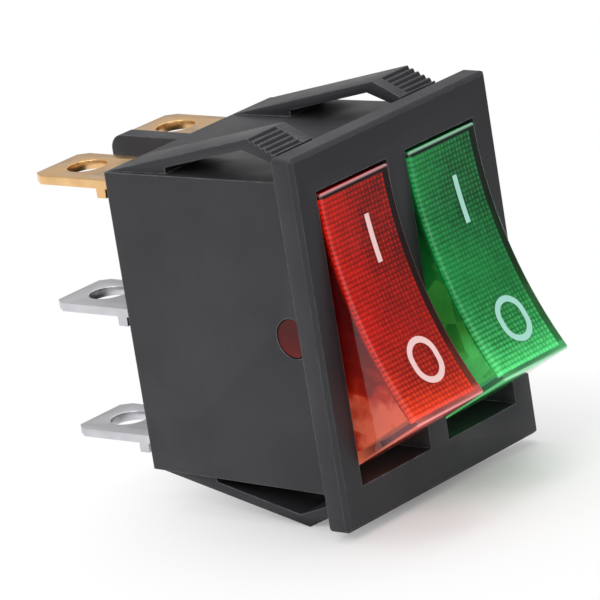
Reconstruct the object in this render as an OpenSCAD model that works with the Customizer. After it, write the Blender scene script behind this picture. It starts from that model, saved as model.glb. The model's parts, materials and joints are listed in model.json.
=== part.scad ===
// Snap-in panel switch with two lamp-lit rockers side by side.
// X runs across the rockers, Y runs from the bezel back to the tabs, Z is up.
// The origin is the centre of the plane where the bezel seats on its panel.
// Both rockers stand in their ON position, with the upper end pressed in.

/* [Bezel] */
// Thickness of the bezel in front of the panel
bezel_t = 2; // [1.8:0.1:2.4]
// How far the bezel overhangs the body at each side
bezel_lip_side = 1.6; // [1.2:0.1:2.4]
// How far the bezel overhangs the body at each end
bezel_lip_end = 2.5; // [2.2:0.1:3.2]
// Width of the bevel along the bezel's front edges
bezel_bevel = 0.35; // [0.2:0.05:0.6]
// Radius of the bezel's four corners
bezel_corner = 0.5; // [0.4:0.1:1.5]

/* [Body] */
// Width of each rocker's window
window_w = 8.9; // [8.7:0.1:9.6]
// Height of each rocker's window
window_h = 24.5; // [24:0.1:25.5]
// Width of the bar between the two windows
mid_bar = 2.3; // [2.2:0.1:3.2]
// Wall beside the windows
side_wall = 0.85; // [0.75:0.05:1.2]
// Wall above and below the windows
end_wall = 0.85; // [0.75:0.05:1.2]
// Depth of the body behind the panel
body_depth = 20; // [19.8:0.1:22]
// How far each side of the body draws in towards the rear
body_draft = 0.35; // [0.1:0.05:0.4]
// Thickness of the rear wall that holds the tabs
rear_wall = 2.5; // [2.2:0.1:2.7]
// Depth at which the chamber steps in behind the rocker
step_depth = 8; // [7.8:0.1:8.6]
// How far the chamber steps in on every side
chamber_step = 0.45; // [0.35:0.05:0.55]

/* [Latches] */
// Width of each latch arm
latch_w = 4.6; // [4:0.05:4.75]
// Thickness of the arms
latch_t = 0.8; // [0.7:0.05:0.9]
// Height of an arm's crest above the body
latch_rise = 3.25; // [3:0.05:3.6]
// Distance of the crest behind the bezel
latch_crest = 4.2; // [3.6:0.1:4.6]
// Distance of the arm's tip behind the bezel
latch_tip = 1.5; // [1.2:0.1:1.8]
// How far the ramp falls from crest to tip
latch_drop = 1.2; // [1:0.05:1.4]
// Height of an arm's blunt tip
latch_nose = 0.95; // [0.7:0.05:1.1]
// Where the gap under the arm starts, ahead of the rear face
latch_root = 6.4; // [5:0.1:7]
// Number of grip ridges on the ramp
latch_teeth = 5; // [3:1:6]
// Width of the ridged patch
teeth_w = 3.5; // [2.5:0.1:3.6]
// Depth of the grooves between the ridges
teeth_depth = 0.22; // [0.1:0.02:0.3]

/* [Barrier] */
// Thickness of the barrier between the two columns of tabs
barrier_t = 1.6; // [1.2:0.1:2]
// How far the barrier stands behind the body
barrier_out = 8.1; // [5:0.1:8.5]
// Radius of its rear corners
barrier_r = 1.3; // [1:0.1:3]
// How far the barrier stays below the body's top and bottom
barrier_inset = 0.2; // [0.1:0.05:0.6]

/* [Rocker] */
// Half of the rocker's swing in degrees
rock_half = 19; // [18:0.5:19.5]
// Distance of the pivot behind the panel plane
pivot_back = 2.2; // [2.1:0.05:2.4]
// Diameter of the pivot bosses
pivot_d = 3.2; // [2.8:0.1:3.4]
// Radial clearance of the bosses in the housing
pivot_gap = 0.08; // [0.03:0.01:0.1]
// Clearance between rocker and window at each side
side_gap = 0.2; // [0.15:0.05:0.35]
// Clearance between the pressed ridge and the window's end
ridge_gap = 0.25; // [0.2:0.05:0.4]
// Reach of the rocker's ridges in front of the pivot
rocker_tip = 8.1; // [7.9:0.1:8.6]
// Depth of the finger hollow between the ridges
dish_depth = 1.5; // [1.2:0.1:1.6]
// Clearance between the rocker's foot and the window's end
foot_gap = 0.85; // [0.7:0.05:1.1]
// How far the rocker's ends reach behind the pivot
foot_back = 1.2; // [0.9:0.1:1.3]
// How far the skirt reaches behind the pivot at its middle
skirt_back = 2.4; // [2.2:0.1:2.7]
// Wall of the rocker's skirt
rocker_wall = 1.05; // [0.95:0.05:1.15]
// Thickness of the rocker's finger face
face_wall = 1.3; // [1.1:0.1:1.4]

/* [Marks] */
// Length of the I mark
mark_i_len = 4; // [3.5:0.1:4.5]
// Height of the O mark
mark_o_len = 4; // [3.8:0.1:4.4]
// Width of the O mark
mark_o_w = 3.4; // [2.8:0.1:3.5]
// Line width of both marks
mark_line = 0.55; // [0.4:0.05:0.7]
// How far the print sits off the rocker's middle, to the right
mark_side = 0.5; // [-0.6:0.1:0.6]
// How far the red rocker's print sits above the green one's
mark_stagger = 0.3; // [-0.4:0.1:0.4]
// Distance of the I mark from the rocker's middle
mark_i_up = 4.8; // [4.4:0.1:5.2]
// Distance of the O mark from the rocker's middle
mark_o_down = 5.7; // [5.2:0.1:6]
// Depth of the paint in the rocker's face
mark_depth = 0.15; // [0.1:0.01:0.25]

/* [Plunger] */
// Outer diameter of the stem that holds the plunger
stem_d = 4.4; // [4.2:0.1:4.6]
// Reach of the stem behind the pivot
stem_reach = 6.4; // [6:0.1:6.6]
// Bore of the stem
stem_bore = 3; // [2.8:0.1:3.1]
// Depth of the bore's floor in front of the pivot
bore_floor = 3.6; // [3.2:0.1:3.9]
// Radial clearance of the plunger in its bore
plunger_gap = 0.1; // [0.05:0.01:0.1]
// Radius of the plunger's nose
nose_r = 1; // [0.8:0.05:1.1]
// Length of the plunger behind its nose centre
plunger_tail = 7.3; // [6.9:0.1:7.5]
// How far the plunger can be pushed in
plunger_travel = 1.1; // [0.8:0.1:1.3]

/* [Contacts] */
// Distance of the blade's rocking axis behind the panel plane
fulcrum_back = 13; // [12.8:0.1:13.2]
// Half of the blade's swing in degrees
blade_half = 7; // [6:0.5:7.5]
// Distance of the nose centre ahead of the blade's axis at mid swing
nose_standoff = 1.5; // [1.4:0.05:1.6]
// Running clearance between nose and blade
nose_gap = 0.06; // [0.04:0.01:0.12]
// Thickness of the blade
blade_t = 0.5; // [0.4:0.05:0.55]
// Width of the blade's dish
blade_w = 5.2; // [5:0.1:5.4]
// Half height of the blade's dish
dish_half = 3.9; // [3.7:0.05:4]
// Width of the blade's contact arm
wing_w = 3.6; // [3.2:0.1:3.7]
// Length of the blade's contact arm
wing_len = 5.7; // [5.4:0.1:5.8]
// Distance of the moving contact from the arm's start
contact_out = 4.1; // [3.9:0.1:4.2]
// Diameter of the contact rivets' heads
contact_d = 2.6; // [2.2:0.1:2.8]
// Height of the contact rivets' heads
contact_h = 0.55; // [0.4:0.05:0.6]
// Diameter of the rivets' shanks
rivet_d = 1.2; // [1:0.1:1.3]
// Gap left between the closed contacts
contact_gap = 0.04; // [0.02:0.01:0.08]

/* [Tabs] */
// Width of the push-on tabs
tab_w = 6.3; // [6.1:0.05:6.4]
// Thickness of the tabs
tab_t = 0.8; // [0.7:0.05:0.8]
// Length of the tabs behind the body
tab_out = 10; // [9:0.1:11]
// Length of the tabs' corner chamfers
tab_chamfer = 0.9; // [0.6:0.1:1.2]
// Diameter of the hole in each tab
tab_hole_d = 3.3; // [1.6:0.1:3.4]
// Distance of that hole from the tab's tip
tab_hole_in = 3.4; // [3:0.1:3.8]
// Width of the shoulder that seats inside the rear wall
shoulder_w = 7.2; // [6.9:0.1:7.4]
// Distance between the outer tabs and the chamber's wall
tab_wall_gap = 0.4; // [0.35:0.05:0.6]
// Clearance of the tabs in their slots
slot_gap = 0.05; // [0.03:0.01:0.1]
// Distance of the locking tang behind the body
tang_out = 2; // [1.5:0.1:2.4]
// Length of the locking tang along the tab
tang_len = 1; // [0.8:0.1:1.2]
// How far the tang is bent below the tab
tang_drop = 0.8; // [0.6:0.1:1]

/* [Lamp circuit] */
// Diameter of the lamp
lamp_d = 3.4; // [3.2:0.1:3.5]
// Distance of the lamp's axis from the window's upper end
lamp_in = 5.75; // [5.65:0.05:5.95]
// Reach of the lamp behind the pivot
lamp_back = 0.6; // [0.4:0.1:0.8]
// Height of the lamp's end cap
cap_h = 0.9; // [0.7:0.1:1]
// Diameter of the resistor
resistor_d = 2.2; // [2:0.1:2.3]
// Distance of the resistor's axis from the window's lower end
resistor_in = 5.85; // [5.75:0.05:6.05]
// Wall of the sockets that hold lamp and resistor
socket_wall = 0.5; // [0.4:0.05:0.6]
// Length of those sockets behind the finger face
socket_len = 2.4; // [2:0.1:2.8]
// Radial clearance in those sockets
socket_gap = 0.05; // [0.03:0.01:0.1]
// Thickness of the lamp's wires
wire_d = 0.5; // [0.4:0.05:0.55]
// Sideways offset of the lead that meets the load spring
lead_side = 2.5; // [2.5:0.01:2.55]

/* [Springs] */
// Outer diameter of the plunger spring
plunger_spring_d = 2.7; // [2.5:0.05:2.75]
// Wire of the plunger spring
plunger_spring_wire = 0.36; // [0.3:0.02:0.4]
// Turns of the plunger spring
plunger_spring_turns = 6; // [5:1:7]
// Outer diameter of the two lamp springs
lamp_spring_d = 1.1; // [1:0.02:1.12]
// Wire of the lamp springs
lamp_spring_wire = 0.2; // [0.16:0.02:0.24]
// Turns of the lamp springs
lamp_spring_turns = 9; // [8:1:11]
// Gap left at each end of a spring
spring_gap = 0.04; // [0.02:0.01:0.08]

/* [Hidden] */
$fn = 64;
eps = 0.01;
bend = 0.3;                 // overlap of plates that are folded from one strip

pole_x = (window_w + mid_bar) / 2;
body_w = 2 * window_w + mid_bar + 2 * side_wall;
body_h = window_h + 2 * end_wall;
bezel_w = body_w + 2 * bezel_lip_side;
bezel_h = body_h + 2 * bezel_lip_end;
floor_y = body_depth - rear_wall;
chamber_w = window_w - 2 * chamber_step;
chamber_h = window_h - 2 * chamber_step;

// Rocker, in its own frame: pivot at the origin, finger face towards -Y.
rocker_w = window_w - 2 * side_gap;
rocker_in_w = rocker_w - 2 * rocker_wall;
ridge_z = (window_h / 2 - ridge_gap - sin(rock_half) * rocker_tip) / cos(rock_half);
foot_z = window_h / 2 - foot_gap;
dish_r = (pow(ridge_z, 2) + pow(dish_depth, 2)) / (2 * dish_depth);
dish_y = -(rocker_tip - dish_depth) - dish_r;
boss_len = side_gap + side_wall - 0.15;

// Plunger nose and the path it follows, seen from the rocking blade.
nose_reach = fulcrum_back - pivot_back - nose_standoff;
nose_dy = pivot_back + nose_reach * cos(rock_half) - fulcrum_back;
nose_dz = nose_reach * sin(rock_half);
path_y = nose_dy * cos(blade_half) - nose_dz * sin(blade_half);
path_z = nose_dy * sin(blade_half) + nose_dz * cos(blade_half);
path_drop = -nose_standoff - path_y;
path_r = (pow(path_z, 2) + pow(path_drop, 2)) / (2 * path_drop);

// Blade, in its own frame: rocking axis at the origin.
blade_arc_y = -nose_standoff - path_r;
blade_in_r = path_r + nose_r + nose_gap;
blade_mid_r = blade_in_r + blade_t / 2;
blade_back_y = blade_arc_y + blade_in_r + blade_t;
wing_y = blade_arc_y + sqrt(pow(blade_mid_r, 2) - pow(dish_half, 2));
contact_y = wing_y - contact_out * sin(blade_half);
contact_z = -dish_half - contact_out * cos(blade_half);

// Fixed contact, square to the blade's arm while the contacts are closed.
closed_y = fulcrum_back + contact_y * cos(blade_half) - contact_z * sin(blade_half);
closed_z = contact_y * sin(blade_half) + contact_z * cos(blade_half);
plate_y = closed_y + blade_t / 2 + 2 * contact_h + contact_gap;
fork_seat_y = fulcrum_back + blade_back_y + nose_gap + 0.02;
ear_w = 0.8;
ear_gap = 0.15;
neck_w = 3.7;
ear_reach = 1.3;

// Tabs.
tab_z = chamber_h / 2 - tab_wall_gap - tab_t / 2;
tab_tip_y = body_depth + tab_out;
seat_gap = 0.04;

// Lamp circuit, in the rocker's frame.
face_in_y = -(rocker_tip - dish_depth) + face_wall;
lamp_up = window_h / 2 - lamp_in;
lamp_near_z = lamp_up - lamp_d / 2;
lamp_seat_y = dish_y + sqrt(pow(dish_r + face_wall, 2) - pow(lamp_near_z, 2));
resistor_down = window_h / 2 - resistor_in;
resistor_near_z = resistor_down - resistor_d / 2;
resistor_seat_y = dish_y + sqrt(pow(dish_r + face_wall, 2) - pow(resistor_near_z, 2));
cap_back_y = lamp_back + cap_h;
lead_y = 0.75;
pad_t = 0.3;
lead_back_y = lead_y + wire_d / 2 + pad_t;

// Places of the rocker's spring seats in the housing's frame, rockers ON.
function at_rest(y, z) = [
    pivot_back + y * cos(rock_half) + z * sin(rock_half),
    -y * sin(rock_half) + z * cos(rock_half)
];
cap_seat = at_rest(cap_back_y, lamp_up);
lead_seat = at_rest(lead_back_y, -resistor_down);
lead_tilt = lamp_spring_d / 2 * tan(rock_half);

// ---------- Helpers ----------

// Extrudes a drawing made in Y (across) and Z (up) along X, centred.
module side_extrude(w) {
    rotate([90, 0, 90])
        linear_extrude(height = w, center = true)
            children();
}

// A round bar along Y from y0 to y1.
module bar_y(d, y0, y1) {
    translate([0, y0, 0])
        rotate([-90, 0, 0])
            cylinder(d = d, h = y1 - y0);
}

// Puts its children in the frame of a rocker that stands in its ON position.
module on_rocker(x) {
    translate([x, pivot_back, 0])
        rotate([-rock_half, 0, 0])
            children();
}

// Puts its children in the frame of a blade with closed contacts.
module on_blade(x) {
    translate([x, fulcrum_back, 0])
        rotate([blade_half, 0, 0])
            children();
}

// Both halves of an outline that is the same left and right.
function both_sides(half) = concat(
    half,
    [for (i = [len(half) - 1 : -1 : 0]) [-half[i][0], half[i][1]]]
);

// A coil spring along Y from y0 to y1, as one swept wire.
module coil_spring(d, wire, turns, y0, y1) {
    sides = 6;
    per_turn = 14;
    rings = turns * per_turn;
    coil_r = (d - wire) / 2;
    wire_r = wire / 2;
    rise = (y1 - y0 - wire) / rings;
    points = [
        for (k = [0 : rings]) for (s = [0 : sides - 1])
            let (a = 360 * k / per_turn, b = 360 * s / sides, r = coil_r + wire_r * cos(b))
            [r * cos(a), y0 + wire_r + rise * k + wire_r * sin(b), r * sin(a)]
    ];
    walls = [
        for (k = [0 : rings - 1]) for (s = [0 : sides - 1])
            let (n = (s + 1) % sides, p = k * sides, q = p + sides)
            each [[p + s, p + n, q + n], [p + s, q + n, q + s]]
    ];
    first = [for (s = [sides - 1 : -1 : 0]) s];
    last = [for (s = [0 : sides - 1]) rings * sides + s];
    polyhedron(points = points, faces = concat(walls, [first, last]), convexity = 10);
}

// ---------- Housing ----------

// Half height of the drafted body at depth y.
function body_top(y) = body_h / 2 - body_draft * y / body_depth;

module bezel_plate() {
    side_x = bezel_w / 2 - bezel_corner;
    side_z = bezel_h / 2 - bezel_corner;
    difference() {
        translate([0, -bezel_t, 0])
            rotate([-90, 0, 0])
                linear_extrude(height = bezel_t) {
                    square([bezel_w, 2 * side_z], center = true);
                    square([2 * side_x, bezel_h], center = true);
                    for (sx = [-1, 1], sz = [-1, 1])
                        translate([sx * side_x, sz * side_z])
                            circle(r = bezel_corner);
                }
        for (sx = [-1, 1])
            translate([sx * bezel_w / 2, -bezel_t, 0])
                rotate([0, 0, 45])
                    cube([sqrt(2) * bezel_bevel, sqrt(2) * bezel_bevel, bezel_h + 1], center = true);
        for (sz = [-1, 1])
            translate([0, -bezel_t, sz * bezel_h / 2])
                rotate([45, 0, 0])
                    cube([bezel_w + 1, sqrt(2) * bezel_bevel, sqrt(2) * bezel_bevel], center = true);
    }
}

module body_block() {
    half_w = body_w / 2;
    intersection() {
        side_extrude(body_w + 1)
            polygon([
                [-eps, -body_h / 2], [body_depth, -body_top(body_depth)],
                [body_depth, body_top(body_depth)], [-eps, body_h / 2]
            ]);
        linear_extrude(height = body_h + 1, center = true)
            polygon([
                [-half_w, -eps], [half_w, -eps],
                [half_w - body_draft, body_depth], [-half_w + body_draft, body_depth]
            ]);
    }
}

// One latch arm on the upper right; the others are its mirror images.
module latch_arm() {
    crest_z = body_h / 2 + latch_rise;
    rear_z = body_top(body_depth);
    slope = (crest_z - rear_z) / (body_depth - latch_crest);
    root_y = body_depth - latch_root;
    tip_z = crest_z - latch_drop;
    arm_z = latch_t * sqrt(1 + slope * slope);
    ramp = [latch_tip - latch_crest, -latch_drop];
    ramp_len = norm(ramp);
    pitch = ramp_len / latch_teeth;
    x_out = pole_x + latch_w;
    translate([pole_x + latch_w / 2, 0, 0])
        difference() {
            side_extrude(latch_w)
                polygon([
                    [body_depth, rear_z],
                    [latch_crest, crest_z],
                    [latch_tip, tip_z],
                    [latch_tip, tip_z - latch_nose],
                    [latch_crest + latch_t, crest_z - arm_z - slope * latch_t],
                    [root_y, crest_z - arm_z - slope * (root_y - latch_crest)],
                    [root_y, rear_z - end_wall / 2],
                    [body_depth, rear_z - end_wall / 2]
                ]);
            for (i = [0 : latch_teeth - 1])
                translate([
                    (latch_w - teeth_w) / 2,
                    latch_crest + ramp[0] * (i + 0.5) / latch_teeth,
                    crest_z + ramp[1] * (i + 0.5) / latch_teeth
                ])
                    rotate([atan2(-ramp[1], -ramp[0]) + 45, 0, 0])
                        cube([teeth_w + eps, sqrt(2) * teeth_depth, sqrt(2) * teeth_depth], center = true);
        }
}

module barrier() {
    half_z = body_top(body_depth) - barrier_inset;
    side_extrude(barrier_t) {
        translate([floor_y + rear_wall / 2, -half_z])
            square([barrier_out + rear_wall / 2 - barrier_r, 2 * half_z]);
        translate([floor_y + rear_wall / 2, -half_z + barrier_r])
            square([barrier_out + rear_wall / 2, 2 * (half_z - barrier_r)]);
        for (s = [-1, 1])
            translate([body_depth + barrier_out - barrier_r, s * (half_z - barrier_r)])
                circle(r = barrier_r);
    }
}

module housing() {
    color("#38383c")
        difference() {
            union() {
                bezel_plate();
                body_block();
                for (sx = [0, 1], sz = [0, 1])
                    mirror([sx, 0, 0])
                        mirror([0, 0, sz])
                            latch_arm();
                barrier();
            }
            for (s = [-1, 1])
                translate([s * pole_x, 0, 0]) {
                    translate([-window_w / 2, -bezel_t - 1, -window_h / 2])
                        cube([window_w, bezel_t + 1 + step_depth, window_h]);
                    translate([-chamber_w / 2, step_depth - 1, -chamber_h / 2])
                        cube([chamber_w, floor_y - step_depth + 1, chamber_h]);
                    for (z = [-tab_z, 0, tab_z])
                        translate([0, body_depth, z])
                            cube([tab_w + 2 * slot_gap, 2 * rear_wall + 1, tab_t + 2 * slot_gap], center = true);
                }
            translate([0, pivot_back, 0])
                rotate([0, 90, 0])
                    cylinder(d = pivot_d + 2 * pivot_gap, h = body_w + 2, center = true);
        }
}

// ---------- Rocker and what rides on it ----------

// The solid of the finger dish's cylinder, grown by `more`.
module dish_cylinder(more) {
    translate([0, dish_y, 0])
        rotate([0, 90, 0])
            cylinder(r = dish_r + more, h = window_w + 2, center = true, $fn = 180);
}

module mark_i(grow, lift) {
    translate([mark_side, -rocker_tip, mark_i_up + lift])
        cube([mark_line + 2 * grow, 2 * rocker_tip, mark_i_len + 2 * grow], center = true);
}

// A ring with straight sides, drawn with radius r at both ends.
module o_disc(r) {
    run = (mark_o_len - mark_o_w) / 2;
    rotate([90, 0, 0])
        linear_extrude(height = 2 * rocker_tip) {
            square([2 * r, 2 * run], center = true);
            for (s = [-1, 1])
                translate([0, s * run])
                    circle(r = r);
        }
}

module mark_o(grow, lift) {
    translate([mark_side, 0, -mark_o_down + lift])
        difference() {
            o_disc(mark_o_w / 2 + grow);
            translate([0, eps, 0])
                scale([1, 1.1, 1])
                    o_disc(mark_o_w / 2 - mark_line - grow);
        }
}

module rocker_outline() {
    polygon([
        [-rocker_tip, -ridge_z], [0, -foot_z], [foot_back, -foot_z + 0.3],
        [skirt_back, -pivot_d], [skirt_back, pivot_d],
        [foot_back, foot_z - 0.3], [0, foot_z], [-rocker_tip, ridge_z]
    ]);
}

module rocker_hollow() {
    in_foot = foot_z - rocker_wall;
    in_ridge = ridge_z - rocker_wall;
    difference() {
        side_extrude(rocker_in_w)
            polygon([
                [-rocker_tip, -in_ridge], [0, -in_foot], [skirt_back + 1, -in_foot],
                [skirt_back + 1, in_foot], [0, in_foot], [-rocker_tip, in_ridge]
            ]);
        dish_cylinder(face_wall);
    }
}

module socket(d, z) {
    translate([0, 0, z])
        difference() {
            bar_y(d + 2 * (socket_gap + socket_wall), face_in_y - face_wall / 2, face_in_y + socket_len);
            bar_y(d + 2 * socket_gap, face_in_y - face_wall, face_in_y + socket_len + 1);
        }
}

module rocker(x, lift) {
    on_rocker(x)
        difference() {
            union() {
                difference() {
                    side_extrude(rocker_w)
                        rocker_outline();
                    rocker_hollow();
                }
                bar_y(stem_d, face_in_y - face_wall / 2, stem_reach);
                difference() {
                    union() {
                        socket(lamp_d, lamp_up);
                        socket(resistor_d, -resistor_down);
                    }
                    dish_cylinder(face_wall / 2);
                }
                for (s = [-1, 1])
                    translate([s * (rocker_w / 2 + boss_len / 2 - rocker_wall / 4), 0, 0])
                        rotate([0, 90, 0])
                            cylinder(d = pivot_d, h = boss_len + rocker_wall / 2, center = true);
            }
            dish_cylinder(0);
            bar_y(stem_bore, -bore_floor, stem_reach + 1);
            intersection() {
                union() {
                    mark_i(eps, lift);
                    mark_o(eps, lift);
                }
                dish_cylinder(mark_depth + eps);
            }
        }
}

// The layer just under the finger face in which the marks lie.
module mark_layer() {
    difference() {
        dish_cylinder(mark_depth);
        dish_cylinder(eps);
    }
}

module on_mark(x, lift) {
    on_rocker(x)
        intersection() {
            mark_i(0, lift);
            mark_layer();
        }
}

module off_mark(x, lift) {
    on_rocker(x)
        intersection() {
            mark_o(0, lift);
            mark_layer();
        }
}

module plunger(x) {
    shank_d = stem_bore - 2 * plunger_gap;
    shoulder_y = nose_reach - nose_r * 0.7;
    color("#e9e6dc")
        on_rocker(x) {
            bar_y(shank_d, nose_reach - plunger_tail, shoulder_y);
            bar_y(2 * nose_r, shoulder_y - eps, nose_reach);
            translate([0, nose_reach, 0])
                rotate([90, 0, 0])
                    rotate_extrude()
                        intersection() {
                            circle(r = nose_r);
                            translate([0, -nose_r])
                                square([nose_r, 2 * nose_r]);
                        }
        }
}

module plunger_spring(x) {
    color("#b9bcc0")
        on_rocker(x)
            coil_spring(plunger_spring_d, plunger_spring_wire, plunger_spring_turns,
                -bore_floor + spring_gap, nose_reach - plunger_tail - spring_gap);
}

module lamp(x) {
    tip_y = lamp_seat_y + seat_gap;
    r = lamp_d / 2;
    color("#e8b08a")
        on_rocker(x)
            translate([0, 0, lamp_up])
                rotate([-90, 0, 0])
                    rotate_extrude()
                        polygon([
                            [0, tip_y], [r * 0.35, tip_y], [r * 0.8, tip_y + r * 0.35],
                            [r, tip_y + r * 0.8], [r, lamp_back], [0, lamp_back]
                        ]);
}

module lamp_cap(x) {
    color("#c9b26a")
        on_rocker(x)
            translate([0, 0, lamp_up])
                bar_y(lamp_d - 2 * socket_gap, lamp_back + seat_gap / 2, cap_back_y);
}

module resistor(x) {
    front_y = resistor_seat_y + seat_gap;
    r = resistor_d / 2;
    color("#c7a878")
        on_rocker(x)
            translate([0, 0, -resistor_down])
                rotate([-90, 0, 0])
                    rotate_extrude()
                        polygon([
                            [0, front_y], [r, front_y], [r, front_y + r], [r * 0.85, front_y + 1.3 * r],
                            [r * 0.85, -1.3 * r], [r, -r], [r, 0.1], [0, 0.1]
                        ]);
}

// Joins a wire's straight runs with balls at the corners.
module wire_run(a, b) {
    dx = b[0] - a[0];
    dy = b[1] - a[1];
    dz = b[2] - a[2];
    run = norm([dx, dy, dz]);
    translate(a)
        rotate([0, acos(dz / run), atan2(dy, dx)])
            cylinder(d = wire_d, h = run);
    translate(b)
        sphere(d = wire_d);
}

module link_wire(x) {
    side = (rocker_in_w + stem_d) / 4;
    y = face_in_y + socket_len + wire_d;
    lamp_z = lamp_up - lamp_d / 2 - wire_d / 2 - seat_gap;
    res_z = -resistor_down + resistor_d / 2 + wire_d / 2 + seat_gap;
    color("#b7b9bd")
        on_rocker(x) {
            translate([0, y, lamp_z])
                sphere(d = wire_d);
            wire_run([0, y, lamp_z], [side, y, lamp_z]);
            wire_run([side, y, lamp_z], [side, y, res_z]);
            wire_run([side, y, res_z], [0, y, res_z]);
        }
}

module resistor_lead(x) {
    color("#b7b9bd")
        on_rocker(x)
            translate([0, 0, -resistor_down]) {
                bar_y(wire_d, 0.1 + seat_gap, lead_y);
                sphere_at = [0, lead_y, 0];
                translate(sphere_at)
                    sphere(d = wire_d);
                wire_run(sphere_at, [lead_side, lead_y, 0]);
                translate([lead_side, 0, 0])
                    bar_y(lamp_spring_d, lead_y, lead_back_y);
            }
}

module lamp_spring(x) {
    color("#b9bcc0")
        translate([x, 0, cap_seat[1]])
            coil_spring(lamp_spring_d, lamp_spring_wire, lamp_spring_turns,
                cap_seat[0] + lead_tilt + spring_gap, plate_y - spring_gap);
}

module load_spring(x) {
    color("#b9bcc0")
        translate([x + lead_side, 0, lead_seat[1]])
            coil_spring(lamp_spring_d, lamp_spring_wire, lamp_spring_turns,
                lead_seat[0] + lead_tilt + spring_gap, plate_y - spring_gap);
}

// ---------- Contacts ----------

module blade(x) {
    notch_z = tab_t + 2 * (ear_gap + ear_reach * tan(blade_half));
    color("#c9793f")
        on_blade(x)
            difference() {
                union() {
                    intersection() {
                        translate([0, blade_arc_y, 0])
                            rotate([0, 90, 0])
                                cylinder(r = blade_in_r + blade_t, h = blade_w, center = true, $fn = 120);
                        translate([-blade_w, blade_arc_y + blade_in_r / 2, -dish_half])
                            cube([2 * blade_w, 2 * blade_in_r, 2 * dish_half]);
                    }
                    translate([0, wing_y, -dish_half])
                        rotate([-blade_half, 0, 0])
                            translate([-wing_w / 2, -blade_t / 2, -wing_len])
                                cube([wing_w, blade_t, wing_len + bend]);
                }
                translate([0, blade_arc_y, 0])
                    rotate([0, 90, 0])
                        cylinder(r = blade_in_r, h = blade_w + 1, center = true, $fn = 120);
                for (s = [-1, 1])
                    translate([s * (neck_w + blade_w) / 2, 0, 0])
                        cube([blade_w, 4, notch_z], center = true);
                translate([0, contact_y, contact_z])
                    rotate([-blade_half, 0, 0])
                        bar_y(rivet_d + 2 * seat_gap, -blade_t, blade_t);
            }
}

module moving_contact(x) {
    color("#d7d7d2")
        on_blade(x)
            translate([0, contact_y, contact_z])
                rotate([-blade_half, 0, 0]) {
                    bar_y(rivet_d, -blade_t / 2 - 0.25, blade_t / 2 + contact_h);
                    bar_y(contact_d, blade_t / 2 + eps, blade_t / 2 + contact_h);
                    bar_y(rivet_d + 0.6, -blade_t / 2 - 0.25, -blade_t / 2 - eps);
                }
}

module fixed_contact(x) {
    color("#d7d7d2")
        translate([x, plate_y, closed_z]) {
            bar_y(contact_d, -contact_h, -eps);
            bar_y(rivet_d, -contact_h, tab_t + 0.25);
            bar_y(rivet_d + 0.6, tab_t + eps, tab_t + 0.25);
        }
}

// ---------- Terminals ----------

// The tab outside the housing, its shoulder inside it and the locking tang.
module tab(z, inner_y) {
    half = [
        [shoulder_w / 2, inner_y], [shoulder_w / 2, floor_y - seat_gap],
        [tab_w / 2, floor_y - seat_gap], [tab_w / 2, tab_tip_y - tab_chamfer],
        [tab_w / 2 - 0.7 * tab_chamfer, tab_tip_y]
    ];
    translate([0, 0, z]) {
        difference() {
            linear_extrude(height = tab_t, center = true)
                polygon(both_sides(half));
            translate([0, tab_tip_y - tab_hole_in, 0])
                cylinder(d = tab_hole_d, h = 2 * tab_t, center = true);
        }
        for (s = [-1, 1])
            translate([s * (tab_w - tab_t) / 2, body_depth + tang_out + tang_len / 2, -(tab_t / 2 + tang_drop) / 2])
                cube([tab_t, tang_len, tab_t / 2 + tang_drop], center = true);
    }
}

module common_terminal(x) {
    color("#c4c6c9")
        translate([x, 0, 0]) {
            tab(0, fork_seat_y);
            for (s = [-1, 1])
                translate([s * (neck_w / 2 + ear_gap + ear_w / 2), fork_seat_y - ear_reach / 2 + bend / 2, 0])
                    cube([ear_w, ear_reach + bend, tab_t], center = true);
        }
}

module load_terminal(x) {
    low_z = -tab_z - tab_t / 2;
    top_z = closed_z + contact_d / 2 + 0.3;
    finger_z = lead_seat[1] + lamp_spring_d / 2 + 0.3;
    finger_x = lead_side - lamp_spring_d / 2;
    color("#c4c6c9")
        translate([x, 0, 0])
            difference() {
                union() {
                    tab(-tab_z, plate_y);
                    translate([-tab_w / 2, plate_y, low_z])
                        cube([tab_w, tab_t, top_z - low_z]);
                    translate([finger_x, plate_y, low_z])
                        cube([tab_w / 2 - finger_x, tab_t, finger_z - low_z]);
                }
                translate([0, plate_y, closed_z])
                    bar_y(rivet_d + 2 * seat_gap, -1, tab_t + 1);
            }
}

module lamp_terminal(x) {
    seat_z = cap_seat[1] - lamp_spring_d / 2 - 0.4;
    color("#c9a24a")
        translate([x, 0, 0]) {
            tab(tab_z, plate_y);
            translate([-tab_w / 2, plate_y, seat_z])
                cube([tab_w, tab_t, tab_z + tab_t / 2 - seat_z]);
        }
}

// ---------- Pieces ----------

housing();

color("#d01810") rocker(-pole_x, mark_stagger / 2);  // red_rocker
color("#ffd0cc") on_mark(-pole_x, mark_stagger / 2);  // red_on_mark
color("#ffd0cc") off_mark(-pole_x, mark_stagger / 2);  // red_off_mark
plunger(-pole_x);  // red_plunger
plunger_spring(-pole_x);  // red_plunger_spring
lamp(-pole_x);  // red_lamp
lamp_cap(-pole_x);  // red_lamp_cap
resistor(-pole_x);  // red_resistor
link_wire(-pole_x);  // red_link_wire
resistor_lead(-pole_x);  // red_resistor_lead
lamp_spring(-pole_x);  // red_lamp_spring
load_spring(-pole_x);  // red_load_spring
blade(-pole_x);  // red_blade
moving_contact(-pole_x);  // red_moving_contact
fixed_contact(-pole_x);  // red_fixed_contact
common_terminal(-pole_x);  // red_common_terminal
load_terminal(-pole_x);  // red_load_terminal
lamp_terminal(-pole_x);  // red_lamp_terminal

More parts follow.
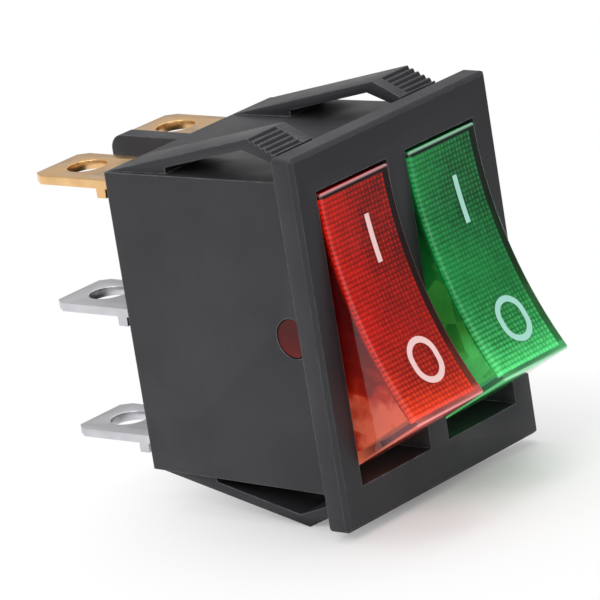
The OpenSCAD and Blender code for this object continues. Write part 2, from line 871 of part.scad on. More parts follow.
color("#0a8a3c") rocker(pole_x, -mark_stagger / 2);  // green_rocker
color("#c8f5e6") on_mark(pole_x, -mark_stagger / 2);  // green_on_mark
color("#c8f5e6") off_mark(pole_x, -mark_stagger / 2);  // green_off_mark
plunger(pole_x);  // green_plunger
plunger_spring(pole_x);  // green_plunger_spring
lamp(pole_x);  // green_lamp
lamp_cap(pole_x);  // green_lamp_cap
resistor(pole_x);  // green_resistor
link_wire(pole_x);  // green_link_wire
resistor_lead(pole_x);  // green_resistor_lead
lamp_spring(pole_x);  // green_lamp_spring
load_spring(pole_x);  // green_load_spring
blade(pole_x);  // green_blade
moving_contact(pole_x);  // green_moving_contact
fixed_contact(pole_x);  // green_fixed_contact
common_terminal(pole_x);  // green_common_terminal
load_terminal(pole_x);  // green_load_terminal
lamp_terminal(pole_x);  // green_lamp_terminal
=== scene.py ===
# %% [markdown]
# # A snap-in panel switch with two translucent rockers
# The real thing is a dark moulded housing with a bezel, four sprung latch arms and six blade tabs.
# Two tinted clear rockers stand in its windows, each with a small neon lamp behind its finger face.
# This lesson dresses a measured model of it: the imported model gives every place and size, and each
# cell below adds one finish or one finer shape on top of it.

# %% Load the measured model
import json
import math
from functools import partial

import bmesh
import bpy
from mathutils import Matrix, Vector


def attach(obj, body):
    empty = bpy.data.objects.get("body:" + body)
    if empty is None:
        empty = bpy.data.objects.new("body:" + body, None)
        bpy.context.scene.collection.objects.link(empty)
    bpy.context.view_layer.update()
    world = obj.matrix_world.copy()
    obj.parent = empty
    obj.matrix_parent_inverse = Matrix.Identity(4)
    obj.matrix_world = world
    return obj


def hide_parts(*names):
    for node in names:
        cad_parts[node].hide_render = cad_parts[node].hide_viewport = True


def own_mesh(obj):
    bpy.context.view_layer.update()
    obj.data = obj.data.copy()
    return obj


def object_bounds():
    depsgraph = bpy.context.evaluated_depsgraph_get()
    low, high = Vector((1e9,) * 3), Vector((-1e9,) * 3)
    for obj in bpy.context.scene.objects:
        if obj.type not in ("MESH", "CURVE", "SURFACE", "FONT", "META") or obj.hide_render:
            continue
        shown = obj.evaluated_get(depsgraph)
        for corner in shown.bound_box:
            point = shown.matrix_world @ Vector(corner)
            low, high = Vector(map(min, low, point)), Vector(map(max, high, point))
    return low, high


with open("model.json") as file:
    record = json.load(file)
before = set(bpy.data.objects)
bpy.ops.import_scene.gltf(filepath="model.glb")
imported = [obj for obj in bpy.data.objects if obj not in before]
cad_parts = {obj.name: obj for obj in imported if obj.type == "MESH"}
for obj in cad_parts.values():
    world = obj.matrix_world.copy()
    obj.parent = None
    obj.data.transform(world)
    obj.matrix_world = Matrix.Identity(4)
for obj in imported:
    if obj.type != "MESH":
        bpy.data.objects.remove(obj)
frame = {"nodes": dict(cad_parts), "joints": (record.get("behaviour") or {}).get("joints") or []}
cad_box = [list(map(float, corner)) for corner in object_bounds()]
MM = 0.001
COLOURS = ("red", "green")
hinges = {colour: joint for colour in COLOURS for joint in frame["joints"]
          if joint["name"] == f"{colour}_rocker_hinge"}
pivots = {colour: Vector(hinge["pos_m"]) for colour, hinge in hinges.items()}
half_swing = math.radians(hinges["red"]["range_deg"][1] / 2)


def in_mm(box):
    """The two corners of a box in millimetres, rounded for print."""
    return [[round(v / MM, 2) for v in corner] for corner in box]


print("loaded", len(frame["nodes"]), "solids; box in mm:", in_mm(cad_box))

# %% [markdown]
# ## The camera
# A product shot of so small a part is taken from far away with a long lens, so that its edges stay
# nearly parallel. An orthographic camera would make them quite parallel, which looks like a
# drawing. This one gets its place, the way it looks and a little roll.

# %% Place the camera
LENS_MM, SENSOR_MM = 341.7, 36
STANDS_AT = Vector((-329.1, -290.5, 130.3)) * MM
LOOKS_ALONG = Vector((0.70772, 0.64769, -0.28220))
ROLL = math.radians(-9.167)


def in_scene(name, data):
    """A new object, linked to the scene."""
    made = bpy.data.objects.new(name, data)
    bpy.context.scene.collection.objects.link(made)
    return made


camera = in_scene("camera", bpy.data.cameras.new("camera"))
camera.data.lens = LENS_MM
camera.data.sensor_width = SENSOR_MM
camera.data.clip_start = 10 * MM
level = LOOKS_ALONG.normalized().to_track_quat("-Z", "Y").to_matrix()
rolled = level @ Matrix.Rotation(ROLL, 3, "Z")
camera.matrix_world = Matrix.Translation(STANDS_AT) @ rolled.to_4x4()
bpy.context.scene.camera = camera
print("camera stands", round(camera.location.length / MM), "mm from the bezel")

# %% [markdown]
# ## Helpers for node trees
# Every finish below is a small network of nodes, as the shader editor would show it. In a script, a
# few helpers keep such a network readable. These add a node, set it and plug its inputs.

# %% Add and feed a node
def feed(tree, node, feeds):
    """Gives each named input a number, a colour or another node's output."""
    for name, value in feeds.items():
        socket = node.inputs[name]
        if isinstance(value, bpy.types.NodeSocket):
            tree.links.new(value, socket)
        else:
            socket.default_value = (*value, 1) if socket.type == "RGBA" else value


def put(tree, kind, feeds=None, **settings):
    """Adds a node with its settings and feeds its inputs."""
    made = tree.nodes.new(kind)
    for name, value in settings.items():
        setattr(made, name, value)
    feed(tree, made, feeds or {})
    return made


def out_of(tree, kind, feeds=None, **settings):
    """Adds a node and gives its first output."""
    return put(tree, kind, feeds, **settings).outputs[0]


print("node helpers:", [helper.__name__ for helper in (feed, put, out_of)])

# %% [markdown]
# These do arithmetic, mix colours, stretch a range of numbers and make clouds of noise. Noise reads
# Object coordinates, which are metres on the piece, so a pattern keeps its real size anywhere.

# %% Numbers, colours and noise
CLOUDS = (0.35, 0.65)            # most of a noise's values lie between these
BLACK, WHITE = (0, 0, 0), (1, 1, 1)


def maths(tree, operation, first, *others, clamp=False):
    """Arithmetic on one number, or on a row of numbers from left to right."""
    for step, other in enumerate(others or (0.0,), start=1):
        kept = clamp and step >= len(others)
        feeds = {0: first, 1: other}
        first = out_of(tree, "ShaderNodeMath", feeds, operation=operation, use_clamp=kept)
    return first


def blend_colour(tree, share, first, second):
    """Mixes two colours by a share from 0 to 1."""
    return put(tree, "ShaderNodeMix", {0: share, 6: first, 7: second}, data_type="RGBA").outputs[2]


def spread(tree, value, low, high, to_low=0.0, to_high=1.0):
    """Stretches a number from one range onto another, and stops at its ends."""
    feeds = {0: value, 1: low, 2: high, 3: to_low, 4: to_high}
    return out_of(tree, "ShaderNodeMapRange", feeds, clamp=True)


def spot_on_piece(tree):
    """Where on its piece a spot lies, in metres."""
    return put(tree, "ShaderNodeTexCoord").outputs["Object"]


def noise(tree, per_metre, detail, where=None):
    """Soft clouds from 0 to 1, fixed to the piece unless another place is given."""
    feeds = {"Vector": where or spot_on_piece(tree), "Scale": per_metre, "Detail": detail}
    return out_of(tree, "ShaderNodeTexNoise", feeds)


print("number helpers:", [helper.__name__ for helper in (maths, blend_colour, spread, noise)])

# %% [markdown]
# ## Shared effects
# Moulded plastic is never one flat colour. What it shows could be wired into each material again,
# but a node group is built once and placed in every material with its own values. A group here
# gives only colours, masks and heights, and the shader stays in the material, where an exporter
# reads it.

# %% Start a shared effect
NUMBER, COLOUR, VECTOR = "NodeSocketFloat", "NodeSocketColor", "NodeSocketVector"


def shared_effect(name, takes, gives):
    """Starts a node group; returns it, what it takes in and the node for what it gives."""
    group = bpy.data.node_groups.new(name, "ShaderNodeTree")
    for label, kind, value in takes:
        socket = group.interface.new_socket(label, in_out="INPUT", socket_type=kind)
        socket.default_value = value
    for label, kind in gives:
        group.interface.new_socket(label, in_out="OUTPUT", socket_type=kind)
    return group, group.nodes.new("NodeGroupInput").outputs, group.nodes.new("NodeGroupOutput")


print("effects are built by", shared_effect.__name__)

# %% [markdown]
# The first effect is tone that drifts over some millimetres, as pigment does in a moulding. An
# image could hold it, but a soft cloud of noise has no seams and needs no unwrapping.

# %% Tone drift
tone_drift, takes, gives = shared_effect(
    "tone drift",
    [("Colour", COLOUR, (0.5, 0.5, 0.5, 1)), ("Size mm", NUMBER, 4.0), ("Amount", NUMBER, 0.15)],
    [("Colour", COLOUR)],
)
clouds = noise(tone_drift, maths(tone_drift, "DIVIDE", 1 / MM, takes["Size mm"]), 4.0)
around_zero = maths(tone_drift, "SUBTRACT", clouds, 0.5)
swing = maths(tone_drift, "MULTIPLY", around_zero, takes["Amount"], 2.0)
feeds = {"Value": maths(tone_drift, "ADD", 1.0, swing), "Color": takes["Colour"]}
feed(tone_drift, gives, {"Colour": out_of(tone_drift, "ShaderNodeHueSaturation", feeds)})
print("shared effect:", tone_drift.name)

# %% [markdown]
# Handling rubs the edges of a part lighter, and on the housing the lighter edges are mostly a
# painted highlight. Edges could be painted one by one, but a Bevel node knows how the surface would
# turn if it were rounded: where that differs from the true normal, there is an edge. Noise breaks
# the line up, so that it looks rubbed and not drawn.

# %% Lighter edges: wear and painted highlight
NEARLY_FLAT, SHARP = 0.999, 0.86  # how alike the true and the rounded normal are
edge_wear_and_highlight, takes, gives = shared_effect(
    "edge wear and highlight",
    [("Radius mm", NUMBER, 0.15), ("Strength", NUMBER, 1.0)],
    [("Wear", NUMBER)],
)
radius = maths(edge_wear_and_highlight, "MULTIPLY", takes["Radius mm"], MM)
rounded = out_of(edge_wear_and_highlight, "ShaderNodeBevel", {"Radius": radius}, samples=4)
surface = put(edge_wear_and_highlight, "ShaderNodeNewGeometry").outputs["Normal"]
alike = put(edge_wear_and_highlight, "ShaderNodeVectorMath", {0: rounded, 1: surface}, operation="DOT_PRODUCT")
edge = spread(edge_wear_and_highlight, alike.outputs["Value"], NEARLY_FLAT, SHARP)
broken = spread(edge_wear_and_highlight, noise(edge_wear_and_highlight, 900.0, 3.0), *CLOUDS, 0.25, 1.0)
wear = maths(edge_wear_and_highlight, "MULTIPLY", edge, broken, takes["Strength"], clamp=True)
feed(edge_wear_and_highlight, gives, {"Wear": wear})
print("shared effect:", edge_wear_and_highlight.name)

# %% [markdown]
# Under the latch arms and in the slots hardly any light arrives; the colour is darkened there as
# painted shade, and dust dulls the gloss there. The Ambient Occlusion node measures how open a spot
# is, within a given reach.

# %% Crevices: painted shade and dust
OPEN, ENCLOSED = 0.9, 0.4        # share of open sky at which the shade starts and is full
crevices, takes, gives = shared_effect("crevices", [("Reach mm", NUMBER, 1.5)], [("Shade", NUMBER)])
reach = maths(crevices, "MULTIPLY", takes["Reach mm"], MM)
sky = put(crevices, "ShaderNodeAmbientOcclusion", {"Distance": reach}, samples=8).outputs["AO"]
feed(crevices, gives, {"Shade": spread(crevices, sky, OPEN, ENCLOSED)})
print("shared effect:", crevices.name)

# %% [markdown]
# A mould's wall is spark-eroded, and the plastic takes over its grain; fingers then leave smudges
# that change the gloss. Both are noise: a fine one for the height, a coarse one for the smudges.

# %% Mould grain
mould_grain, takes, gives = shared_effect(
    "mould grain",
    [("Size mm", NUMBER, 0.12)],
    [("Height", NUMBER), ("Smudge", NUMBER)],
)
fine = noise(mould_grain, maths(mould_grain, "DIVIDE", 1 / MM, takes["Size mm"]), 2.0)
smudge = spread(mould_grain, noise(mould_grain, 160.0, 3.0), *CLOUDS)
feed(mould_grain, gives, {"Height": fine, "Smudge": smudge})
print("shared effect:", mould_grain.name)

# %% [markdown]
# Metal strip keeps fine lines from the rolls and wire from the die, and it tarnishes in patches.
# Noise that is stretched along the strip with a Mapping node gives the lines.

# %% Rolled strip
STRETCH = (1.0, 0.04, 1.0)       # draws the pattern out along Y, the way the tabs run
rolled_strip, takes, gives = shared_effect(
    "rolled strip",
    [("Lines per mm", NUMBER, 12.0)],
    [("Height", NUMBER), ("Tarnish", NUMBER)],
)
where = spot_on_piece(rolled_strip)
drawn = out_of(rolled_strip, "ShaderNodeMapping", {"Vector": where, "Scale": STRETCH})
per_metre = maths(rolled_strip, "MULTIPLY", takes["Lines per mm"], 1 / MM)
lines = noise(rolled_strip, per_metre, 2.0, drawn)
stain = spread(rolled_strip, noise(rolled_strip, 350.0, 4.0), 0.4, 0.7)
feed(rolled_strip, gives, {"Height": lines, "Tarnish": stain})
print("shared effect:", rolled_strip.name)

# %% [markdown]
# ## Materials
# A material starts as a Principled shader, and shared effects are placed beside it. A grain is
# turned into relief by a Bump node, which is enough for what is finer than a tenth of a millimetre.

# %% Material helpers
def start_finish(name):
    """A new material, its node tree and its Principled shader."""
    material = bpy.data.materials.new(name)
    material.use_nodes = True
    return material, material.node_tree, material.node_tree.nodes["Principled BSDF"]


def effect(tree, group, **values):
    """Places a shared effect in a material; words in a name are joined by _."""
    feeds = {name.replace("_", " "): value for name, value in values.items()}
    return put(tree, "ShaderNodeGroup", feeds, node_tree=group).outputs


def raise_grain(tree, shader, height, strength, reach_mm):
    """Turns a height into relief on the surface."""
    feeds = {"Height": height, "Strength": strength, "Distance": reach_mm * MM}
    feed(tree, shader, {"Normal": out_of(tree, "ShaderNodeBump", feeds)})


print("material helpers:", [helper.__name__ for helper in (start_finish, effect, raise_grain)])

# %% [markdown]
# Nearly all of a switch is moulded plastic or rolled metal. A material for each part could be built
# by hand, but mouldings differ only in colour, gloss and coarseness. So one function makes them
# all: its base is the drifting tone, darkened in crevices as painted shade, and then made lighter
# along the edges, as wear and as painted highlight.

# %% Moulded plastic
# The first is painted shade, the share of tone left in a crevice; the second is dust's roughness.
CREVICE_PAINTED_SHADE, CREVICE_DUST = 0.2, 0.3    # tone left in a crevice, and roughness added there


def moulded(name, colour, wear_and_highlight_colour, rough, grain_mm=0.14, depth=0.2, wear=0.3, glossy=0.5):
    """Moulded plastic: tone, grain, smudges, painted crevice shade, rubbed edges partly painted
    highlight.
    """
    material, tree, shader = start_finish(name)
    base = effect(tree, tone_drift, Colour=colour, Size_mm=5.0, Amount=0.12)[0]
    # On the housing these lighter edges are mostly a painted highlight, partly wear.
    rubbed = effect(tree, edge_wear_and_highlight, Radius_mm=0.15, Strength=wear)["Wear"]
    grain = effect(tree, mould_grain, Size_mm=grain_mm)
    shade_and_dust = effect(tree, crevices, Reach_mm=1.5)["Shade"]
    # Painted shade: the colour is darkened in crevices; dust there also adds roughness.
    feeds = {"Value": spread(tree, shade_and_dust, 0, 1, 1.0, CREVICE_PAINTED_SHADE), "Color": base}
    shaded = out_of(tree, "ShaderNodeHueSaturation", feeds)
    gloss = spread(tree, grain["Smudge"], 0, 1, *rough)
    dust = maths(tree, "MULTIPLY", shade_and_dust, CREVICE_DUST)
    feed(tree, shader, {
        "Base Color": blend_colour(tree, rubbed, shaded, wear_and_highlight_colour),
        "Roughness": maths(tree, "ADD", gloss, dust, clamp=True),
        "Specular IOR Level": glossy,
    })
    raise_grain(tree, shader, grain["Height"], depth, reach_mm=0.05)
    return material


print("mouldings come from", moulded.__name__)

# %% [markdown]
# A second function makes every metal. Metal has no colour under its gloss, so Metallic is full, its
# colour is that of its mirror, and tarnish both darkens and dulls it.

# %% Rolled metal
TARNISH_SHARE = 0.55             # how far the darkest stains cover the metal's own colour


def metal(name, colour, tarnished, rough=(0.16, 0.32), lines=12.0, edge=None):
    """Rolled or plated metal: drawn lines, tarnish and brighter rubbed edges."""
    material, tree, shader = start_finish(name)
    strip = effect(tree, rolled_strip, Lines_per_mm=lines)
    base = effect(tree, tone_drift, Colour=colour, Size_mm=3.0, Amount=0.08)[0]
    share = maths(tree, "MULTIPLY", strip["Tarnish"], TARNISH_SHARE)
    stained = blend_colour(tree, share, base, tarnished)
    rubbed = effect(tree, edge_wear_and_highlight, Radius_mm=0.1, Strength=0.8)["Wear"]
    feed(tree, shader, {
        "Base Color": blend_colour(tree, rubbed, stained, edge or colour),
        "Metallic": 1.0,
        "Roughness": spread(tree, strip["Tarnish"], 0, 1, *rough),
    })
    raise_grain(tree, shader, strip["Height"], strength=0.12, reach_mm=0.04)
    return material


print("metals come from", metal.__name__)

# %% [markdown]
# ## The finishes
# The housing is a dark nylon with a fine spark-eroded grain. The tabs are strip: brass for the top
# pair, tin plate for the others. Inside are copper, silver alloy, spring steel and natural nylon.
# Each is the colour of the clean stuff and a second one for rubbed edges and tarnish; on the
# housing the second colour is mostly a painted highlight along the edges.

# %% Make the plain finishes
finishes = {made.name.split(".")[0]: made for made in (      # a name that is taken gets a number
    # The housing's second colour is lighter edges: mostly a painted highlight, partly wear.
    moulded("housing_plastic", (0.024, 0.024, 0.028), (0.3, 0.3, 0.32), rough=(0.42, 0.58),
            grain_mm=0.2, depth=0.6, wear=0.8, glossy=0.45),
    moulded("nylon", (0.78, 0.75, 0.66), (0.85, 0.83, 0.76), rough=(0.35, 0.5)),
    metal("brass_strip", (0.9, 0.58, 0.28), (0.68, 0.4, 0.17), (0.24, 0.38),
          edge=(1.0, 0.7, 0.28)),
    metal("tin_plate", (0.68, 0.68, 0.71), (0.48, 0.48, 0.51), (0.3, 0.44),
          edge=(0.85, 0.85, 0.88)),
    metal("copper_strip", (0.83, 0.45, 0.27), (0.5, 0.24, 0.13)),
    metal("contact_silver", (0.9, 0.89, 0.86), (0.6, 0.58, 0.52), lines=20.0),
    metal("spring_steel", (0.6, 0.61, 0.64), (0.32, 0.32, 0.34), lines=20.0),
    metal("tinned_wire", (0.78, 0.79, 0.8), (0.5, 0.5, 0.52), lines=20.0),
)}
print("finishes:", sorted(finishes))

# %% [markdown]
# ## Dressing a solid
# The measured model's solids are loose triangles. A copy of a solid is merged into one closed
# surface, because a bevel needs one, and its flat areas become single faces. Modifiers are applied
# by reading the evaluated object back as a mesh, so that only plain meshes are left.

# %% Mesh helpers
FLAT_WITHIN = math.radians(0.6)  # faces that turn by less than this become one


def smooth_where_flat(mesh, degrees=32):
    """Smooth shading, with an edge kept wherever faces meet at more than this angle."""
    mesh.shade_smooth()
    mesh.set_sharp_from_angle(angle=math.radians(degrees))


def finish_mesh(piece):
    """Applies every modifier on a piece and leaves a plain mesh."""
    bpy.context.view_layer.update()
    seen = piece.evaluated_get(bpy.context.evaluated_depsgraph_get())
    result = bpy.data.meshes.new_from_object(seen)
    piece.modifiers.clear()
    piece.data = result
    return piece


def merged_copy(node, name):
    """A copy of a solid's mesh as one closed surface, with flat areas made single faces."""
    mesh = frame["nodes"][node].data.copy()
    mesh.name = name
    shape = bmesh.new()
    shape.from_mesh(mesh)
    bmesh.ops.remove_doubles(shape, verts=shape.verts, dist=2e-6)
    bmesh.ops.dissolve_degenerate(shape, edges=shape.edges, dist=1e-7)
    bmesh.ops.dissolve_limit(shape, angle_limit=FLAT_WITHIN, verts=shape.verts, edges=shape.edges)
    shape.to_mesh(mesh)
    shape.free()
    return in_scene(name, mesh)


print("flat areas merge within", round(math.degrees(FLAT_WITHIN), 1), "degrees")

# %% [markdown]
# Real edges are never sharp: a small round catches the light. To round them in the measured model
# would multiply its faces, so a Bevel modifier does it on the copy, which is then shaded smooth
# wherever neighbouring faces nearly line up. Where only some edges need it, a rule picks them and
# the bevel reads their weight.

# %% Round the edges and dress
ROUND_FROM = math.radians(28)    # edges that turn by more than this are rounded


def choose_edges(piece, rule):
    """Marks the sharp edges whose two ends pass the rule, so that only they are rounded."""
    shape = bmesh.new()
    shape.from_mesh(piece.data)
    weight = shape.edges.layers.float.new("bevel_weight_edge")
    for edge in shape.edges:
        sharp = len(edge.link_faces) == 2 and edge.calc_face_angle(0) > ROUND_FROM
        edge[weight] = 1.0 if sharp and all(rule(v.co) for v in edge.verts) else 0.0
    shape.to_mesh(piece.data)
    shape.free()


def dress(node, name, material, body, bevel_mm, steps=2, rule=None):
    """Replaces a solid by a copy with rounded edges and a finish."""
    piece = merged_copy(node, name)
    if rule:
        choose_edges(piece, rule)
    if bevel_mm:
        rounding = piece.modifiers.new("rounded edges", "BEVEL")
        rounding.width = bevel_mm * MM
        rounding.segments = steps
        rounding.limit_method = "WEIGHT" if rule else "ANGLE"
        rounding.angle_limit = ROUND_FROM
        finish_mesh(piece)
    smooth_where_flat(piece.data)
    piece.data.materials.clear()
    piece.data.materials.append(finishes[material])
    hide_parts(node)
    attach(piece, body)
    print(name, len(piece.data.polygons), "faces")
    return piece


print("edges are rounded from", round(math.degrees(ROUND_FROM)), "degrees")

# %% [markdown]
# ## The housing
# Bezel, box, latch arms and barrier are one moulding, so they are one piece here too. Its shape is
# all in the solid, and it only needs a round of a tenth of a millimetre, as a mould's edge leaves
# it.

# %% Housing
dress("housing", "housing_dressed", "housing_plastic", "housing", bevel_mm=0.1)

# %% [markdown]
# ## The tabs
# Push-on tabs are stamped from strip, which rolls their edges over a little. The lamp's tabs are
# left as plain brass, and the others are tin-plated. All six differ only in name and metal: a loop
# does it.

# %% Tabs
for colour in COLOURS:
    for which, strip in [("common", "tin_plate"), ("load", "tin_plate"), ("lamp", "brass_strip")]:
        tab = f"{colour}_{which}"
        dress(f"{tab}_terminal", f"{tab}_tab", strip, "housing", bevel_mm=0.07)

# %% [markdown]
# ## Measuring inside a shader
# Each rocker is one clear tinted moulding. Light enters through its sides, is coloured on its way
# and leaves at the finger face and the edges. To colour it so, a shader has to know how far a spot
# lies from the face, the end walls and the flanks. That could be painted on the mesh, but a fine
# pattern needs many points. A Mapping node of type Texture turns any spot into the rocker's own
# millimetres instead, and simple arithmetic on the rocker's sizes does the rest.

# %% Measure a spot on a rocker
FACE_MIDDLE = -6.6 * MM          # the finger face's middle, ahead of the pivot
DISH = 33.42 * MM                # radius of the finger face
RIDGE = Vector((-8.1, 9.9)) * MM # the ridges at the ends of the finger face
SLOPE = 1.5 / 8.1                # how the end faces lean outwards from ridge to foot
HALF_WIDTH = 4.25 * MM           # from a rocker's middle to its flank

rocker_spot, takes, gives = shared_effect(
    "rocker spot",
    [("Pivot", VECTOR, (0, 0, 0))],
    [(label, NUMBER) for label in ("Depth", "Wall", "Side", "Up", "Right")],
)

step = partial(maths, rocker_spot)
where = spot_on_piece(rocker_spot)
feeds = {"Vector": where, "Location": takes["Pivot"]}
feeds.update({"Rotation": (-half_swing, 0, 0), "Scale": (MM, MM, MM)})
own = out_of(rocker_spot, "ShaderNodeMapping", feeds, vector_type="TEXTURE")
right, back, up = put(rocker_spot, "ShaderNodeSeparateXYZ", {0: own}).outputs
arc = step("SQRT", step("SUBTRACT", (DISH / MM) ** 2, step("MULTIPLY", up, up)))
lean = step("MULTIPLY", step("SUBTRACT", back, RIDGE[0] / MM), SLOPE)
end_face = step("ADD", lean, RIDGE[1] / MM)
feed(rocker_spot, gives, {
    "Depth": step("SUBTRACT", step("ADD", back, (DISH - FACE_MIDDLE) / MM), arc),
    "Wall": step("SUBTRACT", end_face, step("ABSOLUTE", up)),
    "Side": step("SUBTRACT", HALF_WIDTH / MM, step("ABSOLUTE", right)),
    "Up": up,
    "Right": right,
})
print("rocker spot gives", [socket.name for socket in gives.inputs if socket.name])

# %% [markdown]
# ## The polished outside
# Glass and clear plastic need a plain transmission, which every exporter reads. It alone leaves the
# edges dark, though, while in a real moulding light runs inside the wall and leaves at the edges. A
# weak emission along them stands for it: strong at the ridges, faint at the flanks, and a soft one
# in the solid wall at the low end. Tracing that light truly would take caustics and far more
# samples.

# %% Tinted plastic
RIDGE_FADE = (0.26, 0.1)         # mm from a ridge's edge, from no glow to full glow
FLANK_FADE = (0.24, 0.08)        # the same for the edges along the flanks
FLANK_GLOW = 0.13                # how much of a ridge's glow a flank's edge has
SOLID_WALL = (0.9, 0.7)          # mm into the end wall where it turns solid
LOW_END = (-8, -9)               # mm of height where the low end starts
WALL_DEPTH = (5.0, 3.0)          # mm behind the face where the wall's glow fades


def skin(tree, shader, grain_mm, rough, depth=0, reach_mm=0.02):
    """Smudges in the gloss of a smooth part and, if wanted, a slight grain."""
    grain = effect(tree, mould_grain, Size_mm=grain_mm)
    feed(tree, shader, {"Roughness": spread(tree, grain["Smudge"], 0, 1, *rough)})
    if depth:
        raise_grain(tree, shader, grain["Height"], depth, reach_mm)


def tinted(colour, tint, deep, edge_glow, wall_glow):
    """Clear tinted plastic with a polished skin, whose edges and low end wall carry light."""
    material, tree, shader = start_finish(f"{colour}_rocker_plastic")
    spot = effect(tree, rocker_spot, Pivot=pivots[colour])
    ridges = maths(tree, "MAXIMUM", spot["Depth"], spot["Wall"])
    rim = maths(tree, "MINIMUM", spot["Depth"], spot["Wall"])
    flanks = maths(tree, "MAXIMUM", rim, spot["Side"])
    ridge_glow = spread(tree, ridges, *RIDGE_FADE)
    bright = maths(tree, "MAXIMUM", ridge_glow, spread(tree, flanks, *FLANK_FADE, 0, FLANK_GLOW))
    low_wall = maths(
        tree, "MULTIPLY", spread(tree, spot["Wall"], *SOLID_WALL),
        spread(tree, spot["Up"], *LOW_END), spread(tree, spot["Depth"], *WALL_DEPTH),
    )
    dull = blend_colour(tree, low_wall, BLACK, wall_glow)
    drifted = effect(tree, tone_drift, Colour=tint, Size_mm=3.0, Amount=0.1)[0]
    rubbed = effect(tree, edge_wear_and_highlight, Radius_mm=0.15, Strength=0.5)["Wear"]
    feed(tree, shader, {
        "Base Color": blend_colour(tree, rubbed, drifted, deep),
        "Emission Color": blend_colour(tree, bright, dull, edge_glow),
        "Emission Strength": 0.5,
        "Transmission Weight": 1.0,
        "IOR": 1.5,
        "Specular IOR Level": 0.35,
    })
    skin(tree, shader, 0.3, (0.03, 0.09), depth=0.05)
    return material


finishes["red_rocker_plastic"] = tinted(
    "red", (0.85, 0.09, 0.06), (0.95, 0.3, 0.25), (1.0, 0.5, 0.52), (0.28, 0.07, 0.08),
)
finishes["green_rocker_plastic"] = tinted(
    "green", (0.12, 0.68, 0.3), (0.4, 0.85, 0.55), (0.5, 0.9, 0.66), (0.05, 0.2, 0.1),
)
print("tinted, with glow over", RIDGE_FADE[0], "mm of each ridge")

# %% [markdown]
# ## The frosted inside
# Nobody polishes the core of a mould, so the hollow of a rocker is frosted. Through the clear flank
# it shows as a wall that is dark at the top and lit at the low end. A colour ramp over the height
# paints that light and shade, also as a weak glow, and a Voronoi texture breaks it into the flat
# patches that an uneven wall shows. Only some of the light passes, and the far side is painted
# dimmer than the near one.

# %% Frosted plastic
TOP_TO_LOW = (8, -10)            # mm of height over which the wall goes from dark to lit
NEAR_TO_FAR = (-3.0, 3.0)        # mm across the rocker over which it dims


def colour_ramp(tree, value, stops):
    """A ramp through the given places and colours."""
    ramp = put(tree, "ShaderNodeValToRGB", {0: value})
    ends = [stops[0], stops[-1]]
    for element, (place, colour) in zip(ramp.color_ramp.elements, ends):
        element.position = place
        element.color = (*colour, 1)
    for place, colour in stops[1:-1]:
        ramp.color_ramp.elements.new(place).color = (*colour, 1)
    return ramp.outputs[0]


def frosted(colour, uneven, stops):
    """The unpolished inside of a tinted moulding, its light and shade painted in colour and glow."""
    material, tree, shader = start_finish(f"{colour}_rocker_frosted")
    spot = effect(tree, rocker_spot, Pivot=pivots[colour])
    where = spot_on_piece(tree)
    facets = put(tree, "ShaderNodeTexVoronoi", {"Vector": where, "Scale": 420.0}).outputs["Color"]
    facet = out_of(tree, "ShaderNodeSeparateColor", {0: facets})
    reach = maths(
        tree, "ADD", spread(tree, spot["Up"], *TOP_TO_LOW),
        spread(tree, noise(tree, 260.0, 3.0), *CLOUDS, -0.1, 0.1),
        spread(tree, facet, 0, 1, -uneven, uneven), clamp=True,
    )
    dim = spread(tree, spot["Right"], *NEAR_TO_FAR, 0.0, 0.7)
    glow = blend_colour(tree, dim, colour_ramp(tree, reach, stops), BLACK)
    feed(tree, shader, {
        "Base Color": glow,
        "Emission Color": glow,
        "Emission Strength": 0.3,
        "Transmission Weight": 0.35,
        "Specular IOR Level": 0.15,
    })
    skin(tree, shader, 0.15, (0.35, 0.5))
    return material


finishes["red_rocker_frosted"] = frosted("red", 0.06, [
    (0.1, (0.05, 0.002, 0.002)), (0.5, (0.1, 0.003, 0.002)), (0.74, (0.24, 0.02, 0.008)),
    (0.86, (0.55, 0.1, 0.035)), (0.95, (1.0, 0.8, 0.55)),
])
finishes["green_rocker_frosted"] = frosted("green", 0.12, [
    (0.1, (0.004, 0.05, 0.015)), (0.45, (0.03, 0.2, 0.05)), (0.72, (0.2, 0.42, 0.1)),
    (0.92, (0.45, 0.9, 0.42)),
])
print("frosted over", TOP_TO_LOW[0] - TOP_TO_LOW[1], "mm of height")

# %% [markdown]
# ## The printed marks
# A bar for on and a ring for off are printed on each finger face in a paler tone of its colour. An
# image could carry them, but then they would blur close up. The measured model has them as thin
# inlays with crisp edges, so they only need the colour of the ink.

# %% Marks
INKS = {
    "red": ((1.0, 0.66, 0.64), (1.0, 0.75, 0.75)),
    "green": ((0.42, 0.8, 0.68), (0.55, 0.85, 0.76)),
}
for colour, (ink, wear_and_highlight_colour) in INKS.items():
    ink_finish = moulded(f"{colour}_rocker_mark", ink, wear_and_highlight_colour, rough=(0.3, 0.45))
    for mark in ("on", "off"):
        for slot in frame["nodes"][f"{colour}_{mark}_mark"].material_slots:
            slot.material = ink_finish
    print(ink_finish.name, "on two marks")

# %% [markdown]
# ## The rockers
# The rockers lean by half their swing in the model, so every test on their shape first turns a spot
# back into the rocker's own frame. Only the long edges of the flanks get a wide round. They could
# be picked by hand in Edit Mode, but a rule on their corners also holds when the model changes.

# %% A rocker's own frame
ON_SURFACE = 0.02 * MM           # nearer than this counts as on the surface
CLEAR_OF_BOSS = 1.8 * MM         # the round edges keep this far from the pivot


def seat_of(colour):
    """Puts a shape drawn in a rocker's own frame where the rocker stands at rest."""
    return Matrix.Translation(pivots[colour]) @ Matrix.Rotation(-half_swing, 4, "X")


